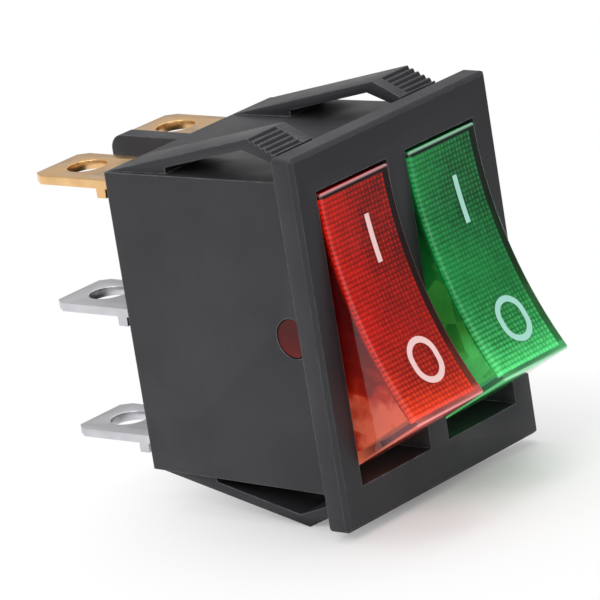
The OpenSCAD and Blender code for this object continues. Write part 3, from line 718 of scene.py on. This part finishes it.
def flank_rule(colour):
    """A rule that passes the corners on a rocker's flanks."""
    back = seat_of(colour).inverted()

    def on_flank(spot):
        own = back @ spot
        away = math.hypot(own.y, own.z) > CLEAR_OF_BOSS
        return abs(abs(own.x) - HALF_WIDTH) < ON_SURFACE and away

    return on_flank


print("rockers lean by", round(math.degrees(half_swing)), "degrees")

# %% [markdown]
# The hollow of a rocker is frosted and its outside polished. Two pieces would meet in a seam, so it
# stays one mesh with two material slots, and the faces of the hollow, the foot and the boss ends
# get the second one by where they are.

# %% Frost the inside
HOLLOW_HALF = 3.26 * MM          # just past half the width of the hollow
WALL = 0.5 * MM                  # spots deeper than this belong to the hollow
FACES_BACK = 0.7                 # a foot's faces point back by more than this


def frost_inside(piece, colour):
    """Gives the hollow, the foot and the boss ends the frosted finish; the rest stays polished."""
    piece.data.materials.append(finishes[f"{colour}_rocker_frosted"])
    back = seat_of(colour).inverted()
    count = 0
    for face in piece.data.polygons:
        spot = back @ face.center
        depth = spot.y - (FACE_MIDDLE - DISH + math.sqrt(DISH ** 2 - spot.z ** 2))
        wall = RIDGE[1] + (spot.y - RIDGE[0]) * SLOPE - abs(spot.z)
        hollow = abs(spot.x) < HOLLOW_HALF and depth > WALL and wall > WALL
        foot = (back.to_3x3() @ face.normal).y > FACES_BACK and spot.y > 0
        boss = abs(spot.x) > HALF_WIDTH + 0.1 * MM
        if foot or boss or hollow:
            face.material_index = 1
            count += 1
    print(piece.name, count, "frosted faces")


print("the hollow starts", WALL / MM, "mm inside the skin")

# %% [markdown]
# The finger face is a row of flat strips, and in a mirroring surface every strip would show. More
# strips would cost faces. Custom normals, taken from the dish's true curve, make it mirror as one.

# %% Smooth the dish
SAME_WAY = 0.99                  # how alike a face's normal and the curve's have to be


def true_dish(piece, colour):
    """Gives the finger face the normals of its true curve."""
    seat = seat_of(colour)
    back = seat.inverted()
    mesh = piece.data
    normals = [Vector(n.vector) for n in mesh.corner_normals]
    for face in mesh.polygons:
        facing = back.to_3x3() @ face.normal
        for corner in face.loop_indices:
            spot = back @ mesh.vertices[mesh.loops[corner].vertex_index].co
            off = math.hypot(spot.y - FACE_MIDDLE + DISH, spot.z) - DISH
            curve = Vector((0, FACE_MIDDLE - DISH - spot.y, -spot.z)).normalized()
            if abs(off) < ON_SURFACE and facing.dot(curve) > SAME_WAY:
                normals[corner] = seat.to_3x3() @ curve
    mesh.normals_split_custom_set(normals)


print("the dish has a radius of", round(DISH / MM, 2), "mm")

# %% [markdown]
# Both rockers come from the same steps: dressed with a wide, finely stepped round on the flanks,
# frosted inside, and given the dish's normals.

# %% Rockers
for colour in COLOURS:
    rocker = f"{colour}_rocker"
    shell = dress(
        rocker, f"{rocker}_shell", f"{rocker}_plastic", rocker,
        bevel_mm=0.22, steps=4, rule=flank_rule(colour),
    )
    frost_inside(shell, colour)
    true_dish(shell, colour)

# %% [markdown]
# ## Helpers for Geometry Nodes
# Cushions, coils and rings repeat by a rule, and Geometry Nodes draw such a rule from a few sizes.
# Each tree takes its sizes as named inputs and ends in the same two nodes: Realize Instances makes
# copies real, and Set Material dresses them. The modifier is then applied, so a plain mesh is left.

# %% Grower helpers
def start_grower(name, sizes):
    """A new tree with an input for each size and one for the finish."""
    tree = bpy.data.node_groups.new(name, "GeometryNodeTree")
    for label, value in sizes.items():
        kind = "NodeSocketInt" if isinstance(value, int) else NUMBER
        tree.interface.new_socket(label, in_out="INPUT", socket_type=kind).default_value = value
    tree.interface.new_socket("Finish", in_out="INPUT", socket_type="NodeSocketMaterial")
    tree.interface.new_socket("Geometry", in_out="OUTPUT", socket_type="NodeSocketGeometry")
    return tree, tree.nodes.new("NodeGroupInput").outputs


def end_grower(tree, finish, shape):
    """Ends a tree: copies become real and everything gets its finish."""
    real = out_of(tree, "GeometryNodeRealizeInstances", {0: shape})
    dressed = out_of(tree, "GeometryNodeSetMaterial", {"Geometry": real, "Material": finish})
    put(tree, "NodeGroupOutput", {0: dressed})
    return tree


def position_of(tree):
    """The three numbers of each point's place."""
    spot = out_of(tree, "GeometryNodeInputPosition")
    return put(tree, "ShaderNodeSeparateXYZ", {0: spot}).outputs


def move_to(tree, shape, x, y, z):
    """Sets each point's place from three numbers."""
    place = out_of(tree, "ShaderNodeCombineXYZ", {0: x, 1: y, 2: z})
    feeds = {"Geometry": shape, "Position": place}
    return out_of(tree, "GeometryNodeSetPosition", feeds)


def grown(name, tree, **values):
    """A new piece whose mesh a tree makes from sizes, set by each socket's identifier."""
    piece = in_scene(name, bpy.data.meshes.new(name))
    grower = piece.modifiers.new("grower", "NODES")
    grower.node_group = tree
    for item in tree.interface.items_tree:
        label = item.name.replace(" ", "_")
        if item.item_type == "SOCKET" and item.in_out == "INPUT" and label in values:
            grower[item.identifier] = values[label]
    return finish_mesh(piece)


print("grower helpers:", [helper.__name__ for helper in (start_grower, end_grower, grown)])

# %% [markdown]
# ## The diffuser under each finger face
# The inner skin of a lit rocker is moulded in rows of tiny cushions, which scatter the lamp's light
# and hide what is behind. Bump alone would go flat at the rim and in a close view. So a grid is
# bent on the dish's radius, every cell is lifted into a cushion, and each gets its own tone by
# chance. The tree also stores where a point lies on the face, for the finish to read.

# %% Grow the diffuser with Geometry Nodes
FULLER = (0.6, 0.9)              # powers that widen a cushion's crown across and along
LEAST, BY_CHANCE = 0.6, 0.8      # a cushion's height as shares of the relief
ROW_STEP = 97.0                  # keeps the cells of two rows from sharing a number


def diffuser_tree():
    """A dished sheet of square cushions."""
    tree, t = start_grower("dished diffuser", {
        "Width": 0.0077, "Length": 0.019, "Pitch": 0.0004, "Relief": 0.00008,
        "Dish Radius": 0.0337, "Steps": 4, "Seed": 7,
    })
    step = partial(maths, tree)

    def corners(side):
        """Points along a side: a few for each cell, and one to close it."""
        cells = step("ROUND", step("DIVIDE", side, t["Pitch"]))
        return step("ADD", step("MULTIPLY", cells, t["Steps"]), 1.0)

    def ruled(place, side):
        """A point's cell, its place on the cell's arch, and its share of the way to the end."""
        half = step("MULTIPLY", side, 0.5)
        cells = step("DIVIDE", step("ADD", place, half), t["Pitch"])
        arch = step("ABSOLUTE", step("SINE", step("MULTIPLY", cells, math.pi)))
        return step("FLOOR", cells), arch, step("DIVIDE", place, half)

    sides = {0: t["Width"], 1: t["Length"], 2: corners(t["Width"]), 3: corners(t["Length"])}
    sheet = out_of(tree, "GeometryNodeMeshGrid", sides)
    x, y, _ = position_of(tree)
    column, arch_x, side_share = ruled(x, t["Width"])
    row, arch_y, end_share = ruled(y, t["Length"])
    cell = step("ADD", step("MULTIPLY", row, ROW_STEP), column)
    chance = {2: 0.0, 3: 1.0, "ID": cell, "Seed": t["Seed"]}
    tone = put(tree, "FunctionNodeRandomValue", chance, data_type="FLOAT").outputs[1]
    cushion = step("MULTIPLY", step("POWER", arch_x, FULLER[0]), step("POWER", arch_y, FULLER[1]))
    height = step("ADD", step("MULTIPLY", tone, BY_CHANCE), LEAST)
    reach = step("SUBTRACT", t["Dish Radius"], step("MULTIPLY", cushion, t["Relief"], height))
    angle = step("DIVIDE", y, t["Dish Radius"])
    back = step("SUBTRACT", step("MULTIPLY", reach, step("COSINE", angle)), t["Dish Radius"])
    for label, value in [
        ("cell_tone", tone), ("along_face", end_share), ("across_face", side_share),
        ("arch_across", arch_x), ("arch_along", arch_y),
    ]:
        feeds = {"Geometry": sheet, "Name": label, "Value": value}
        sheet = out_of(tree, "GeometryNodeStoreNamedAttribute", feeds, data_type="FLOAT")
    bent = move_to(tree, sheet, x, back, step("MULTIPLY", reach, step("SINE", angle)))
    return end_grower(tree, t["Finish"], bent)


cushions = diffuser_tree()
print("diffuser tree has", len(cushions.nodes), "nodes")

# %% [markdown]
# ## How the cushions glow
# Lit from behind, each cushion would be brightest on its crown, and the valleys between dark; here
# this is painted. The lamp sits low, so the face is painted from deep to bright towards its low
# end and lighter on its left side, and clouds in the plastic make patches. All of this is one
# number, the sum of the parts, which then mixes a dark and a lit colour that glows by emission.

# %% Finish of the diffuser
CELL_SHARE, CLOUD_SHARE = 0.35, 0.45     # what chance and clouds add to a cushion's brightness
LEFT_EDGE = (0.75, -0.95)                # across the face, from no side light to full side light
SIDE_LIGHT = (-0.2, -0.8, 0.45, 0.1)     # side light by height: 0.45 above, 0.1 at the low end
LOW_LIGHT = (-0.72, -0.98, 0.0, 0.6)     # what the last rows at the low end add
DARK_TO_LIT = (0.45, 2.0)                # the sum's range from valley to crown


def diffuser_finish(name, dark, mid, lit, low_dark):
    """Glowing cushions: darker at the top, lit at the lower end, each cell its own tone."""
    material, tree, shader = start_finish(name)

    def stored(label):
        return put(tree, "ShaderNodeAttribute", attribute_name=label).outputs["Fac"]

    along = stored("along_face")
    left = spread(tree, stored("across_face"), *LEFT_EDGE)
    columns = maths(tree, "POWER", stored("arch_across"), spread(tree, left, 0, 1, 1.1, 0.2))
    rows = maths(tree, "POWER", stored("arch_along"), 1.1)
    patches = spread(tree, noise(tree, 230.0, 4.0), 0.3, 0.7)
    total = maths(
        tree, "ADD",
        maths(tree, "MULTIPLY", stored("cell_tone"), CELL_SHARE),
        maths(tree, "MULTIPLY", patches, CLOUD_SHARE),
        maths(tree, "MULTIPLY", columns, rows),
        maths(tree, "MULTIPLY", left, spread(tree, along, *SIDE_LIGHT)),
        spread(tree, along, *LOW_LIGHT),
    )
    crown = colour_ramp(tree, spread(tree, along, -1, 1), [(0.1, lit), (0.36, mid)])
    lower = spread(tree, along, 0.5, -0.9)
    valley = blend_colour(tree, lower, dark, low_dark)
    glow = blend_colour(tree, spread(tree, total, *DARK_TO_LIT), valley, crown)
    feed(tree, shader, {"Base Color": glow, "Emission Color": glow, "Emission Strength": 0.32})
    skin(tree, shader, 0.1, (0.18, 0.32), depth=0.1)
    return material


finishes["red_diffuser"] = diffuser_finish(
    "red_diffuser",
    (0.1, 0.004, 0.003), (0.82, 0.07, 0.015), (1.0, 0.34, 0.06), (0.34, 0.02, 0.006),
)
finishes["green_diffuser"] = diffuser_finish(
    "green_diffuser",
    (0.004, 0.055, 0.022), (0.085, 0.46, 0.2), (0.5, 1.0, 0.56), (0.03, 0.26, 0.09),
)
print("diffuser finishes:", [name for name in finishes if "diffuser" in name])

# %% [markdown]
# The sheet is grown flat on the dish's middle, gets a thin back from a Solidify modifier, so that
# it is a closed body, and is then put under the clear skin of its rocker.

# %% Diffusers
CLEAR_SKIN = 0.7 * MM            # clear plastic over the cushions
CHANCE = {"red": 7, "green": 11} # seeds of the cushions' tones
for colour in COLOURS:
    piece = grown(
        f"{colour}_diffuser", cushions, Width=7.56 * MM, Length=19.32 * MM, Pitch=0.42 * MM,
        Relief=0.1 * MM, Dish_Radius=DISH + CLEAR_SKIN, Steps=5, Seed=CHANCE[colour],
        Finish=finishes[f"{colour}_diffuser"],
    )
    backing = piece.modifiers.new("sheet", "SOLIDIFY")
    backing.thickness = 0.25 * MM
    backing.offset = -1
    finish_mesh(piece)
    piece.data.transform(seat_of(colour) @ Matrix.Translation((0, FACE_MIDDLE + CLEAR_SKIN, 0)))
    smooth_where_flat(piece.data, 60)
    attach(piece, f"{colour}_rocker")
    print(piece.name, len(piece.data.polygons), "faces")

# %% [markdown]
# ## Coil springs
# Each pole has three coil springs: one behind the plunger and two that feed the lamp. A coil is a
# wire swept along a helix. A Screw modifier would make an even one, but a real spring's end turns
# lie flat, so a Geometry Nodes spiral gives the turns, a changing rise closes the first and the
# last one, and a round profile becomes the wire.

# %% Wind a spring with Geometry Nodes
END_TURN = 0.13                  # share of the wire over which a flat end turn climbs
END_RISE = 0.55                  # how far it climbs, in wires


def spring_tree():
    """A compression spring along +Z from its lower end."""
    tree, t = start_grower("coil spring", {
        "Outer Diameter": 0.0027, "Wire": 0.00036, "Length": 0.006, "Turns": 7.0,
        "Closed Share": 0.13,
    })
    step = partial(maths, tree)
    half = step("MULTIPLY", step("SUBTRACT", t["Outer Diameter"], t["Wire"]), 0.5)
    thin = step("MULTIPLY", t["Wire"], 0.5)
    coil = out_of(tree, "GeometryNodeCurveSpiral", {
        "Resolution": 28, "Rotations": t["Turns"], "Start Radius": half, "End Radius": half,
        "Height": 0.0,
    })
    run = put(tree, "GeometryNodeSplineParameter").outputs["Factor"]
    until = step("SUBTRACT", 1.0, t["Closed Share"])
    middle = spread(tree, run, t["Closed Share"], until)
    closed = step("MULTIPLY", t["Wire"], END_RISE)
    first = step("MULTIPLY", spread(tree, run, 0.0, END_TURN), closed)
    last = step("MULTIPLY", spread(tree, run, 1 - END_TURN, 1.0), closed)
    free = step("SUBTRACT", t["Length"], t["Wire"], step("MULTIPLY", closed, 2.0))
    rise = step("ADD", first, last, step("MULTIPLY", middle, free), thin)
    x, y, _ = position_of(tree)
    wire = out_of(tree, "GeometryNodeCurvePrimitiveCircle", {"Resolution": 10, "Radius": thin})
    wound = move_to(tree, coil, x, y, rise)
    feeds = {"Curve": wound, "Profile Curve": wire, "Fill Caps": True}
    return end_grower(tree, t["Finish"], out_of(tree, "GeometryNodeCurveToMesh", feeds))


springs = spring_tree()
print("spring tree has", len(springs.nodes), "nodes")

# %% [markdown]
# The simple tube that stands for a spring in the measured model gives its place and size. A real
# load spring is pressed when the rocker goes over, and a plunger spring when the plunger slides in;
# here each spring keeps the length it has at rest.

# %% Springs
LIES_BACK = Matrix.Rotation(math.radians(-90), 4, "X")      # turns +Z to +Y


def span_of(node, to_axis):
    """Lowest and highest corner of a solid's points in a frame whose Z runs along its axis."""
    spots = [to_axis @ v.co for v in frame["nodes"][node].data.vertices]
    return [Vector(map(pick, zip(*spots))) for pick in (min, max)]


for colour in COLOURS:
    for which, body, wire, turns in [
        ("lamp_spring", "housing", 0.2, 9.0),
        ("load_spring", "housing", 0.2, 9.0),
        ("plunger_spring", f"{colour}_rocker", 0.36, 6.0),
    ]:
        node = f"{colour}_{which}"
        axis = seat_of(colour) @ LIES_BACK if which == "plunger_spring" else LIES_BACK
        low, high = span_of(node, axis.inverted())
        length = high.z - low.z
        piece = grown(
            f"{node}_wound", springs, Outer_Diameter=high.x - low.x, Wire=wire * MM, Length=length,
            Turns=turns, Closed_Share=1.0 / turns, Finish=finishes["spring_steel"],
        )
        middle = Vector(((low.x + high.x) / 2, (low.y + high.y) / 2, low.z))
        piece.data.transform(axis @ Matrix.Translation(middle))
        smooth_where_flat(piece.data, 60)
        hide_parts(node)
        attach(piece, body)
        along = tuple(axis.to_3x3() @ Vector((0, 0, 1)))
        if which == "load_spring":
            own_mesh(piece)
        if which == "plunger_spring":
            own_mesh(piece)
        print(piece.name, len(piece.data.polygons), "faces, length", round(length / MM, 2), "mm")

# %% [markdown]
# ## The lamp
# A small neon lamp stands behind each finger face: a clear glass capsule round two electrodes. The
# capsule is in the measured model and needs only a glass finish, with a trace of warmth and smudge.
# A Glass shader would do, but the Principled one with full transmission survives an export.

# %% Lamp glass
finishes["lamp_glass"], tree, shader = start_finish("lamp_glass")
warmth = effect(tree, tone_drift, Colour=(0.97, 0.93, 0.88), Size_mm=1.5, Amount=0.05)[0]
feed(tree, shader, {"Base Color": warmth, "Transmission Weight": 1.0})
skin(tree, shader, 0.5, (0.02, 0.07))
print("finish:", finishes["lamp_glass"].name)

# %% [markdown]
# The electrodes are two thin rods. A plain cylinder would end in sharp rims, so each rod is drawn
# ring by ring along a profile whose ends are softer, and its two ends are closed.

# %% Electrodes
ROD_PROFILE = [(0, 0.6), (0.04, 0.9), (0.1, 1.0), (0.9, 1.0), (0.96, 0.9), (1.0, 0.6)]
ROD_ACROSS, ROD_ASIDE = 0.5 * MM, 0.45 * MM
FOOT_IN, TIP_IN = 0.7 * MM, 1.6 * MM     # how far the rods' ends are inside the capsule's ends


def rod(shape, low, high, across, sides=12):
    """A round rod with softened ends between two points, added to a bmesh."""
    turn = (high - low).normalized().to_track_quat("Z", "X").to_matrix().to_4x4()
    length = (high - low).length
    rings = []
    for height, size in ROD_PROFILE:
        half = across * size / 2
        angles = [2 * math.pi * step / sides for step in range(sides)]
        spots = [Vector((math.cos(a) * half, math.sin(a) * half, height * length)) for a in angles]
        rings.append([shape.verts.new(low + turn @ spot) for spot in spots])
    for lower, upper in zip(rings, rings[1:]):
        for step in range(sides):
            after = (step + 1) % sides
            shape.faces.new((lower[step], lower[after], upper[after], upper[step]))
    shape.faces.new(list(reversed(rings[0])))
    shape.faces.new(rings[-1])


for colour in COLOURS:
    low, high = span_of(f"{colour}_lamp", seat_of(colour).inverted())
    centre = (low + high) / 2
    shape = bmesh.new()
    for side in (-ROD_ASIDE, ROD_ASIDE):
        foot = Vector((centre.x + side, high.y - FOOT_IN, centre.z))
        tip = Vector((centre.x + side, low.y + TIP_IN, centre.z))
        rod(shape, foot, tip, ROD_ACROSS)
    mesh = bpy.data.meshes.new(f"{colour}_lamp_electrodes")
    shape.to_mesh(mesh)
    shape.free()
    mesh.transform(seat_of(colour))
    mesh.materials.append(finishes["tinned_wire"])
    electrodes = in_scene(mesh.name, mesh)
    smooth_where_flat(mesh, 50)
    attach(electrodes, f"{colour}_rocker")
    print(electrodes.name, len(mesh.polygons), "faces")

# %% [markdown]
# ## The resistor
# A neon lamp needs a resistor, and its value is painted round the body in coloured rings. Each ring
# could be a thin band of its own, but paint has no thickness: the shader colours the body by how
# far along it a spot lies.

# %% Banded paint
BODY_PAINT = (0.62, 0.47, 0.28)
RINGS = [
    (0.2, (0.28, 0.1, 0.03)), (0.36, (0.03, 0.03, 0.03)), (0.52, (0.75, 0.42, 0.02)),
    (0.78, (0.5, 0.3, 0.1)),
]
RING_EDGE = (0.05, 0.042)        # half a ring's width, as a share of the body, with a soft edge

finishes["resistor_body"], tree, shader = start_finish("resistor_body")
along = put(tree, "ShaderNodeAttribute", attribute_name="along_body").outputs["Fac"]
paint = effect(tree, tone_drift, Colour=BODY_PAINT, Size_mm=1.0, Amount=0.15)[0]
for centre, ring in RINGS:
    away = maths(tree, "ABSOLUTE", maths(tree, "SUBTRACT", along, centre))
    paint = blend_colour(tree, spread(tree, away, *RING_EDGE), paint, ring)
feed(tree, shader, {"Base Color": paint})
skin(tree, shader, 0.2, (0.22, 0.38), depth=0.3, reach_mm=0.03)
print("rings at", [centre for centre, ring in RINGS])

# %% [markdown]
# That share is stored on the mesh as an attribute. Coordinates alone wouldn't do, because the body
# leans with its rocker, and an attribute stays with the points wherever they move.

# %% Resistors
for colour in COLOURS:
    rocker = f"{colour}_rocker"
    name = f"{colour}_resistor"
    piece = dress(name, f"{name}_banded", "resistor_body", rocker, bevel_mm=0)
    back = seat_of(colour).inverted()
    heights = [(back @ v.co).y for v in piece.data.vertices]
    foot, length = min(heights), max(heights) - min(heights)
    share = piece.data.attributes.new("along_body", "FLOAT", "POINT")
    share.data.foreach_set("value", [(height - foot) / length for height in heights])

# %% [markdown]
# ## The small parts inside
# Blades, contacts, plungers, caps and leads are simple shapes that the measured model holds
# already. They are dressed in one loop, each with its metal or plastic and the body it moves with.
# Round wires and the lamp get no bevel, because they have no edges that light could catch.

# %% Contacts, blades, plungers and wires
for colour in COLOURS:
    rocker, blade = f"{colour}_rocker", f"{colour}_blade"
    for part, material, body, edge in [
        ("plunger", "nylon", f"{colour}_plunger", 0.05), ("blade", "copper_strip", blade, 0.05),
        ("moving_contact", "contact_silver", blade, 0.05),
        ("fixed_contact", "contact_silver", "housing", 0.05),
        ("lamp", "lamp_glass", rocker, 0), ("lamp_cap", "contact_silver", rocker, 0.05),
        ("link_wire", "tinned_wire", rocker, 0), ("resistor_lead", "tinned_wire", rocker, 0),
    ]:
        dress(f"{colour}_{part}", f"{colour}_{part}_dressed", material, body, bevel_mm=edge)

# %% [markdown]
# ## Marks of the mould
# On a moulded part, the pins that push it out of the mould leave faint round rings. Four of them
# show on the rear wall between the tabs. One ring is drawn once, and Geometry Nodes set a copy on
# each corner of a grid, so that its spacing is two numbers.

# %% Ring the ejector pins with Geometry Nodes
def pin_rings_tree():
    """Sets a thin ring on each corner of a rectangle."""
    tree, t = start_grower("pin rings", {
        "Across": 0.0112, "Up": 0.011, "Ring Diameter": 0.0022, "Line": 0.00008,
    })

    def circle(across, points):
        feeds = {"Resolution": points, "Radius": maths(tree, "MULTIPLY", across, 0.5)}
        return out_of(tree, "GeometryNodeCurvePrimitiveCircle", feeds)

    spots = out_of(tree, "GeometryNodeMeshGrid", {0: t["Across"], 1: t["Up"], 2: 2, 3: 2})
    outline = {"Curve": circle(t["Ring Diameter"], 40), "Profile Curve": circle(t["Line"], 8)}
    ring = out_of(tree, "GeometryNodeCurveToMesh", outline)
    rings = out_of(tree, "GeometryNodeInstanceOnPoints", {"Points": spots, "Instance": ring})
    return end_grower(tree, t["Finish"], rings)


REAR_WALL = 20.0 * MM
rings = grown(
    "ejector_pin_rings", pin_rings_tree(), Across=11.2 * MM, Up=11.0 * MM, Ring_Diameter=2.4 * MM,
    Line=0.1 * MM, Finish=finishes["housing_plastic"],
)
rings.data.transform(Matrix.Translation((0, REAR_WALL, 0)) @ LIES_BACK)
smooth_where_flat(rings.data, 60)
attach(rings, "housing")
print(rings.name, len(rings.data.polygons), "faces")

# %% [markdown]
# ## The floor
# The switch lies on white paper that shows no horizon. Near the switch the floor is real paper and
# takes its shadow. Further out it fades into pure white, but only for rays that see it from the
# camera, in a mirror or through glass, which Light Path tells apart. So it throws no extra light on
# the switch. The part in front of it is greyer in mirrors, like a grey card that keeps gloss calm.

# %% Floor
FLOOR_GAP = 0.02 * MM            # below the switch
FLOOR_HALF = 3.0                 # metres
PAPER_ENDS = (0.013, 0.034)      # metres from the middle, where the paper turns white
CARD_ENDS = (-0.06, 0.02)        # metres along Y, where the grey card ends
CARD_GREY = 0.32


def seen_share(tree, *ray_names):
    """1 for the rays of the named kinds and 0 for others, and the outputs that tell them."""
    rays = put(tree, "ShaderNodeLightPath").outputs
    return maths(tree, "ADD", *[rays[f"Is {name} Ray"] for name in ray_names], clamp=True), rays


floor_height = cad_box[0][2] - FLOOR_GAP
corners = [
    (x * FLOOR_HALF, y * FLOOR_HALF, floor_height) for x, y in ((-1, -1), (1, -1), (1, 1), (-1, 1))
]
floor_mesh = bpy.data.meshes.new("floor")
floor_mesh.from_pydata(corners, [], [(0, 1, 2, 3)])
floor = in_scene("floor", floor_mesh)
floor_material, tree, shader = start_finish("floor")
paper = blend_colour(tree, noise(tree, 60.0, 2.0), (0.96, 0.96, 0.96), (0.98, 0.98, 0.98))
feed(tree, shader, {"Base Color": paper, "Roughness": 0.9, "Specular IOR Level": 0.0})

where = spot_on_piece(tree)
away = put(tree, "ShaderNodeVectorMath", {0: where}, operation="LENGTH").outputs["Value"]
seen, rays = seen_share(tree, "Camera", "Glossy", "Transmission")
y = put(tree, "ShaderNodeSeparateXYZ", {0: where}).outputs[1]
not_mirrored = maths(tree, "SUBTRACT", 1.0, rays["Is Glossy Ray"])
beyond_card = maths(tree, "MAXIMUM", spread(tree, y, *CARD_ENDS), not_mirrored)
far = spread(tree, away, *PAPER_ENDS)
card = out_of(tree, "ShaderNodeEmission", {"Color": WHITE, "Strength": CARD_GREY})
white = out_of(tree, "ShaderNodeEmission", {"Color": WHITE, "Strength": 1.0})
on_card = maths(tree, "SUBTRACT", 1.0, beyond_card)
near = out_of(tree, "ShaderNodeMixShader", {0: on_card, 1: shader.outputs[0], 2: card})
whitened = maths(tree, "MULTIPLY", seen, far, beyond_card)
mixed = out_of(tree, "ShaderNodeMixShader", {0: whitened, 1: near, 2: white})
feed(tree, tree.nodes["Material Output"], {"Surface": mixed})
floor_mesh.materials.append(floor_material)
print("floor at", round(floor_height / MM, 2), "mm")

# %% [markdown]
# ## The world
# A studio has white walls for the camera, but a switch that mirrors white all round looks washed
# out. The world is pure white to the camera and through glass, a plain grey as a source of light,
# and in mirrors it runs from dark in front to lighter behind and above, so that metal shows some
# form.

# %% World
GREY = (0.4, 0.4, 0.4)
FRONT_TO_BACK = (-0.45, 0.25, 0.26, 0.56)    # heading along Y, and the mirrored world's strength
LEVEL_TO_UP = (0.3, 0.75, 0.0, 0.8)          # heading upwards, and the mirrored world's strength

world = bpy.data.worlds.new("studio")
bpy.context.scene.world = world
world.use_nodes = True
tree = world.node_tree
seen, rays = seen_share(tree, "Camera", "Glossy", "Transmission")
clear = maths(tree, "ADD", rays["Is Camera Ray"], rays["Is Transmission Ray"], clamp=True)
ray = put(tree, "ShaderNodeTexCoord").outputs["Generated"]
heading = put(tree, "ShaderNodeSeparateXYZ", {0: ray}).outputs
strength = maths(
    tree, "MAXIMUM", spread(tree, heading[1], *FRONT_TO_BACK),
    spread(tree, heading[2], *LEVEL_TO_UP), clear, maths(tree, "SUBTRACT", 1.0, seen),
)
feed(tree, tree.nodes["Background"], {
    "Color": blend_colour(tree, seen, GREY, WHITE),
    "Strength": strength,
})
print("the world lights the switch at", GREY[0])

# %% [markdown]
# ## The lamps
# Four soft boxes stand round the switch: a key from the left, a large one overhead, a weak fill in
# front and a faint rim from behind. Area lamps are used because their size makes shadows soft, and
# each is turned to the switch. The Standard view keeps the colours as they are written.

# %% Lamps
SWITCH_MIDDLE = Vector((0, 0.01, 0))
LAMPS = [                        # name, place and size in metres, watts
    ("key", (-0.5, -0.1, 0.42), 0.35, 1.7),
    ("overhead", (0.1, 0.12, 0.6), 0.45, 1.5),
    ("fill", (-0.25, -0.55, 0.2), 0.4, 0.7),
    ("rim", (0.46, 0.2, 0.42), 0.16, 0.16),
]
for name, place, size, watts in LAMPS:
    lamp = in_scene(name, bpy.data.lights.new(name, "AREA"))
    lamp.data.energy = watts
    lamp.data.size = size
    lamp.location = place
    lamp.rotation_euler = (SWITCH_MIDDLE - lamp.location).to_track_quat("-Z", "Y").to_euler()
bpy.context.scene.view_settings.view_transform = "Standard"
print("lamps:", [lamp[0] for lamp in LAMPS])
